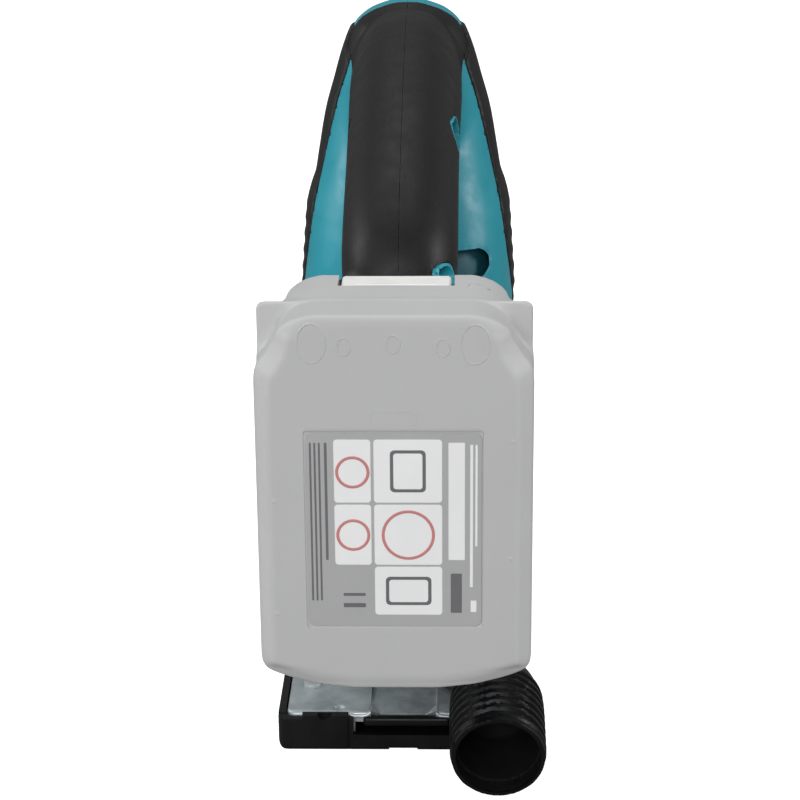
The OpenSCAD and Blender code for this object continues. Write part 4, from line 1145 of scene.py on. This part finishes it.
def nozzle_field(x, y, z):
    yy = np.clip(y, -130, -32)
    u, v = x - duct_x(yy), z - duct_z(yy)
    along = (y - NOZZLE[1]) * math.cos(TILT) + (z - NOZZLE[2]) * math.sin(TILT)
    phase = (along - 3.0) / RIB_PITCH
    ribs = np.clip(np.cos(2 * math.pi * phase) * 1.6, -1.0, 0.9) * np.clip(along / 1.5 - 1, 0, 1) \
        * np.clip((33 - along) / 5, 0, 1)
    outer = oval(u, v, duct_w(yy), duct_h(yy), duct_e(yy)) - ribs * 0.55
    outer = np.maximum(outer, x - 44.1)
    d = mix_max(outer, -along, 0.5)
    d = np.maximum(d, y + 32)
    wall = np.where(along < 6, 1.25, 1.7)
    bore = oval(u, v, duct_w(yy) - wall, duct_h(yy) - wall, duct_e(yy))
    return np.maximum(d, -bore)


def make_base(mats):
    step = 0.85
    grids = (axis(-41, 41, step, [(-33.5, -15.0, 0.5)]), axis(-93, 93, 1.6, [(-93, -84, 0.5), (86, 93, 0.8)]),
             axis(-1, 12.6, 0.5))
    cover = field_piece("sole_cover", cover_field, grids)
    parts = Parts()
    for x in (-12.0, -0.9, 10.6):
        parts.add(*dome((x, -91.8, 3.1), 1.0, 0.12, rings=3))
    dots = parts.build("sole_dots")
    finish_piece(dots, "base", "black_plastic", mats["black_plastic"])
    finish_piece(cover, "base", "black_plastic", mats["black_plastic"], "base_cover")
    grids = (axis(-38, 38, step, [(-13, -9, 0.45), (9, 13, 0.45), (-24, -17, 0.5)]),
             axis(-90.4, 90.4, 1.4, [(-90.4, -80, 0.5)]), axis(2.6, 12.8, 0.5))
    plate = field_piece("foot_plate", plate_field, grids)

    def lip_painted_highlight(centre, normal):
        x, y, z = centre.T
        # Faces on the rolled lip at the mouth take the lighter steel, a painted highlight
        lip = (y < -88.3) & (np.abs(x) > 10.4) & (np.abs(x) < 17.0)
        return (lip & (z > 7.0)).astype(int)

    paint(plate, lip_painted_highlight)
    finish_piece(plate, "base", "sheet_steel", [mats["sheet_steel"], mats["steel_painted_highlight"]], "base_plate")
    # Upturned corners at the channel's mouth and the folded flange beside it, in the lighter steel that paints a
    # highlight along these edges
    parts = Parts()
    for side in (-1, 1):
        tab = [(side * 10.9, -88.2, 12.2), (side * 6.8, -88.2, 10.4), (side * 10.9, -87.6, 10.4),
               (side * 10.9, -83.6, 12.2), (side * 10.9, -83.6, 10.4)]
        faces = [(0, 1, 2), (0, 2, 4, 3), (0, 3, 1), (1, 3, 4), (1, 4, 2)]
        parts.add(tab, faces if side < 0 else [f[::-1] for f in faces])
    path = [(-16.8, -89.4, 11.2), (-15.6, -89.7, 10.9), (-13.0, -89.8, 10.9), (-11.2, -89.7, 11.3),
            (-10.4, -89.3, 11.9)]
    parts.add(*sweep(path, 0.55, 10))
    parts.add(*sweep([(-15.7, -89.8, 10.9), (-15.6, -89.9, 8.0), (-15.6, -89.7, 5.6)], 0.28, 8))
    path = [(10.4, -89.3, 11.9), (11.6, -89.7, 11.0), (14.2, -89.8, 10.9), (15.6, -89.6, 11.1)]
    parts.add(*sweep(path, 0.55, 10))
    trim = parts.build("foot_trim")
    finish_piece(trim, "base", "sheet_steel", mats["steel_painted_highlight"])
    # Rounded bar across the mouth, under the channel
    bar = field_piece("mouth_bar", lambda x, y, z: brick(x, y, z, (-12.8, -90.4, 7.2), (15.0, -87.4, 10.5), 1.1),
                      (axis(-13.4, 15.6, 0.5), axis(-91.0, -86.8, 0.4), axis(6.6, 11.1, 0.4)))
    finish_piece(bar, "base", "black_plastic", mats["black_plastic"])
    step = 0.62
    grids = (axis(-14.4, 44.6, step), axis(-129.5, -31.0, step * 1.8, [(-129.5, -90.0, step * 0.85)]),
             axis(0.4, 33.8, step))
    nozzle = field_piece("dust_outlet", nozzle_field, grids, 50.0)

    def black(centre, normal):
        x, y, z = centre.T
        yy = np.clip(y, -130, -32)
        bore = oval(x - duct_x(yy), z - duct_z(yy), duct_w(yy) - 0.9, duct_h(yy) - 0.9, duct_e(yy))
        along = (y - NOZZLE[1]) * math.cos(TILT) + (z - NOZZLE[2]) * math.sin(TILT)
        return ((bore < 0) & (along > 0.5)).astype(int)

    paint(nozzle, black)
    finish_piece(nozzle, "base", "black_plastic", [mats["hose_black"], mats["bore_black"]], "dust_nozzle")


# ------------------------------------------------------------------ the rest of the CAD nodes

CAD_FINISH = {
    "cast_aluminium": ["gear_housing", "motor_end_bell"],
    "black_plastic": ["brush_holders", "switch_body", "terminal_block", "cooling_fan", "battery_rails", "lock_button",
                      "trigger", "selector_lever", "base_cover", "dust_nozzle", "head_cover"],
    "bronze": ["plunger_bushings"],
    "felt": ["plunger_seal"],
    "tool_steel": ["gear_pin", "rotor_shaft", "crank_gear", "plunger_rod", "plunger_yoke", "retainer_pin",
                   "roller_pin", "blade_roller", "motor_bearings"],
    "dark_steel": ["motor_can", "blade_clamp", "retainer_arm", "bevel_bolt", "hex_key", "selector_shaft",
                   "counterweight", "rotor_core", "housing_screws"],
    "magnet": ["motor_magnets"],
    "carbon": ["carbon_brushes"],
    "circuit_board": ["controller_board", "battery_board"],
    "lens": ["lamp_lens"],
    "wire": ["wiring_loom"],
    "copper": ["commutator"],
    "sheet_steel": ["bevel_saddle", "base_screws", "battery_screws", "latch_spring", "base_plate"],
    "insert_plastic": ["splinter_insert"],
    "clear_plastic": ["dust_cover"],
    "teal_plastic": ["clamp_lever", "housing_left", "housing_right"],
    "grip_rubber": ["grip_left", "grip_right", "bumper_left", "bumper_right"],
    "pack_plastic": ["battery_case", "gauge_button"],
    "label": ["battery_label"],
    "button_plastic": ["latch_button"],
    "cell_wrap": ["battery_cells"],
}


def dress_nodes(mats):
    dressed = set()
    for finish, names in CAD_FINISH.items():
        for name in names:
            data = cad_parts[name].data
            if not data.materials:
                data.materials.append(mats[finish])
            for i in range(len(data.materials)):
                data.materials[i] = mats[finish]
            dressed.add(name)
    left = sorted(set(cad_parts) - dressed)
    if left:
        raise RuntimeError("nodes without a finish: " + ", ".join(left))


make_stage()
materials = make_materials()
dress_nodes(materials)
make_housing(materials)
make_controls(materials)
make_battery(materials)
make_base(materials)
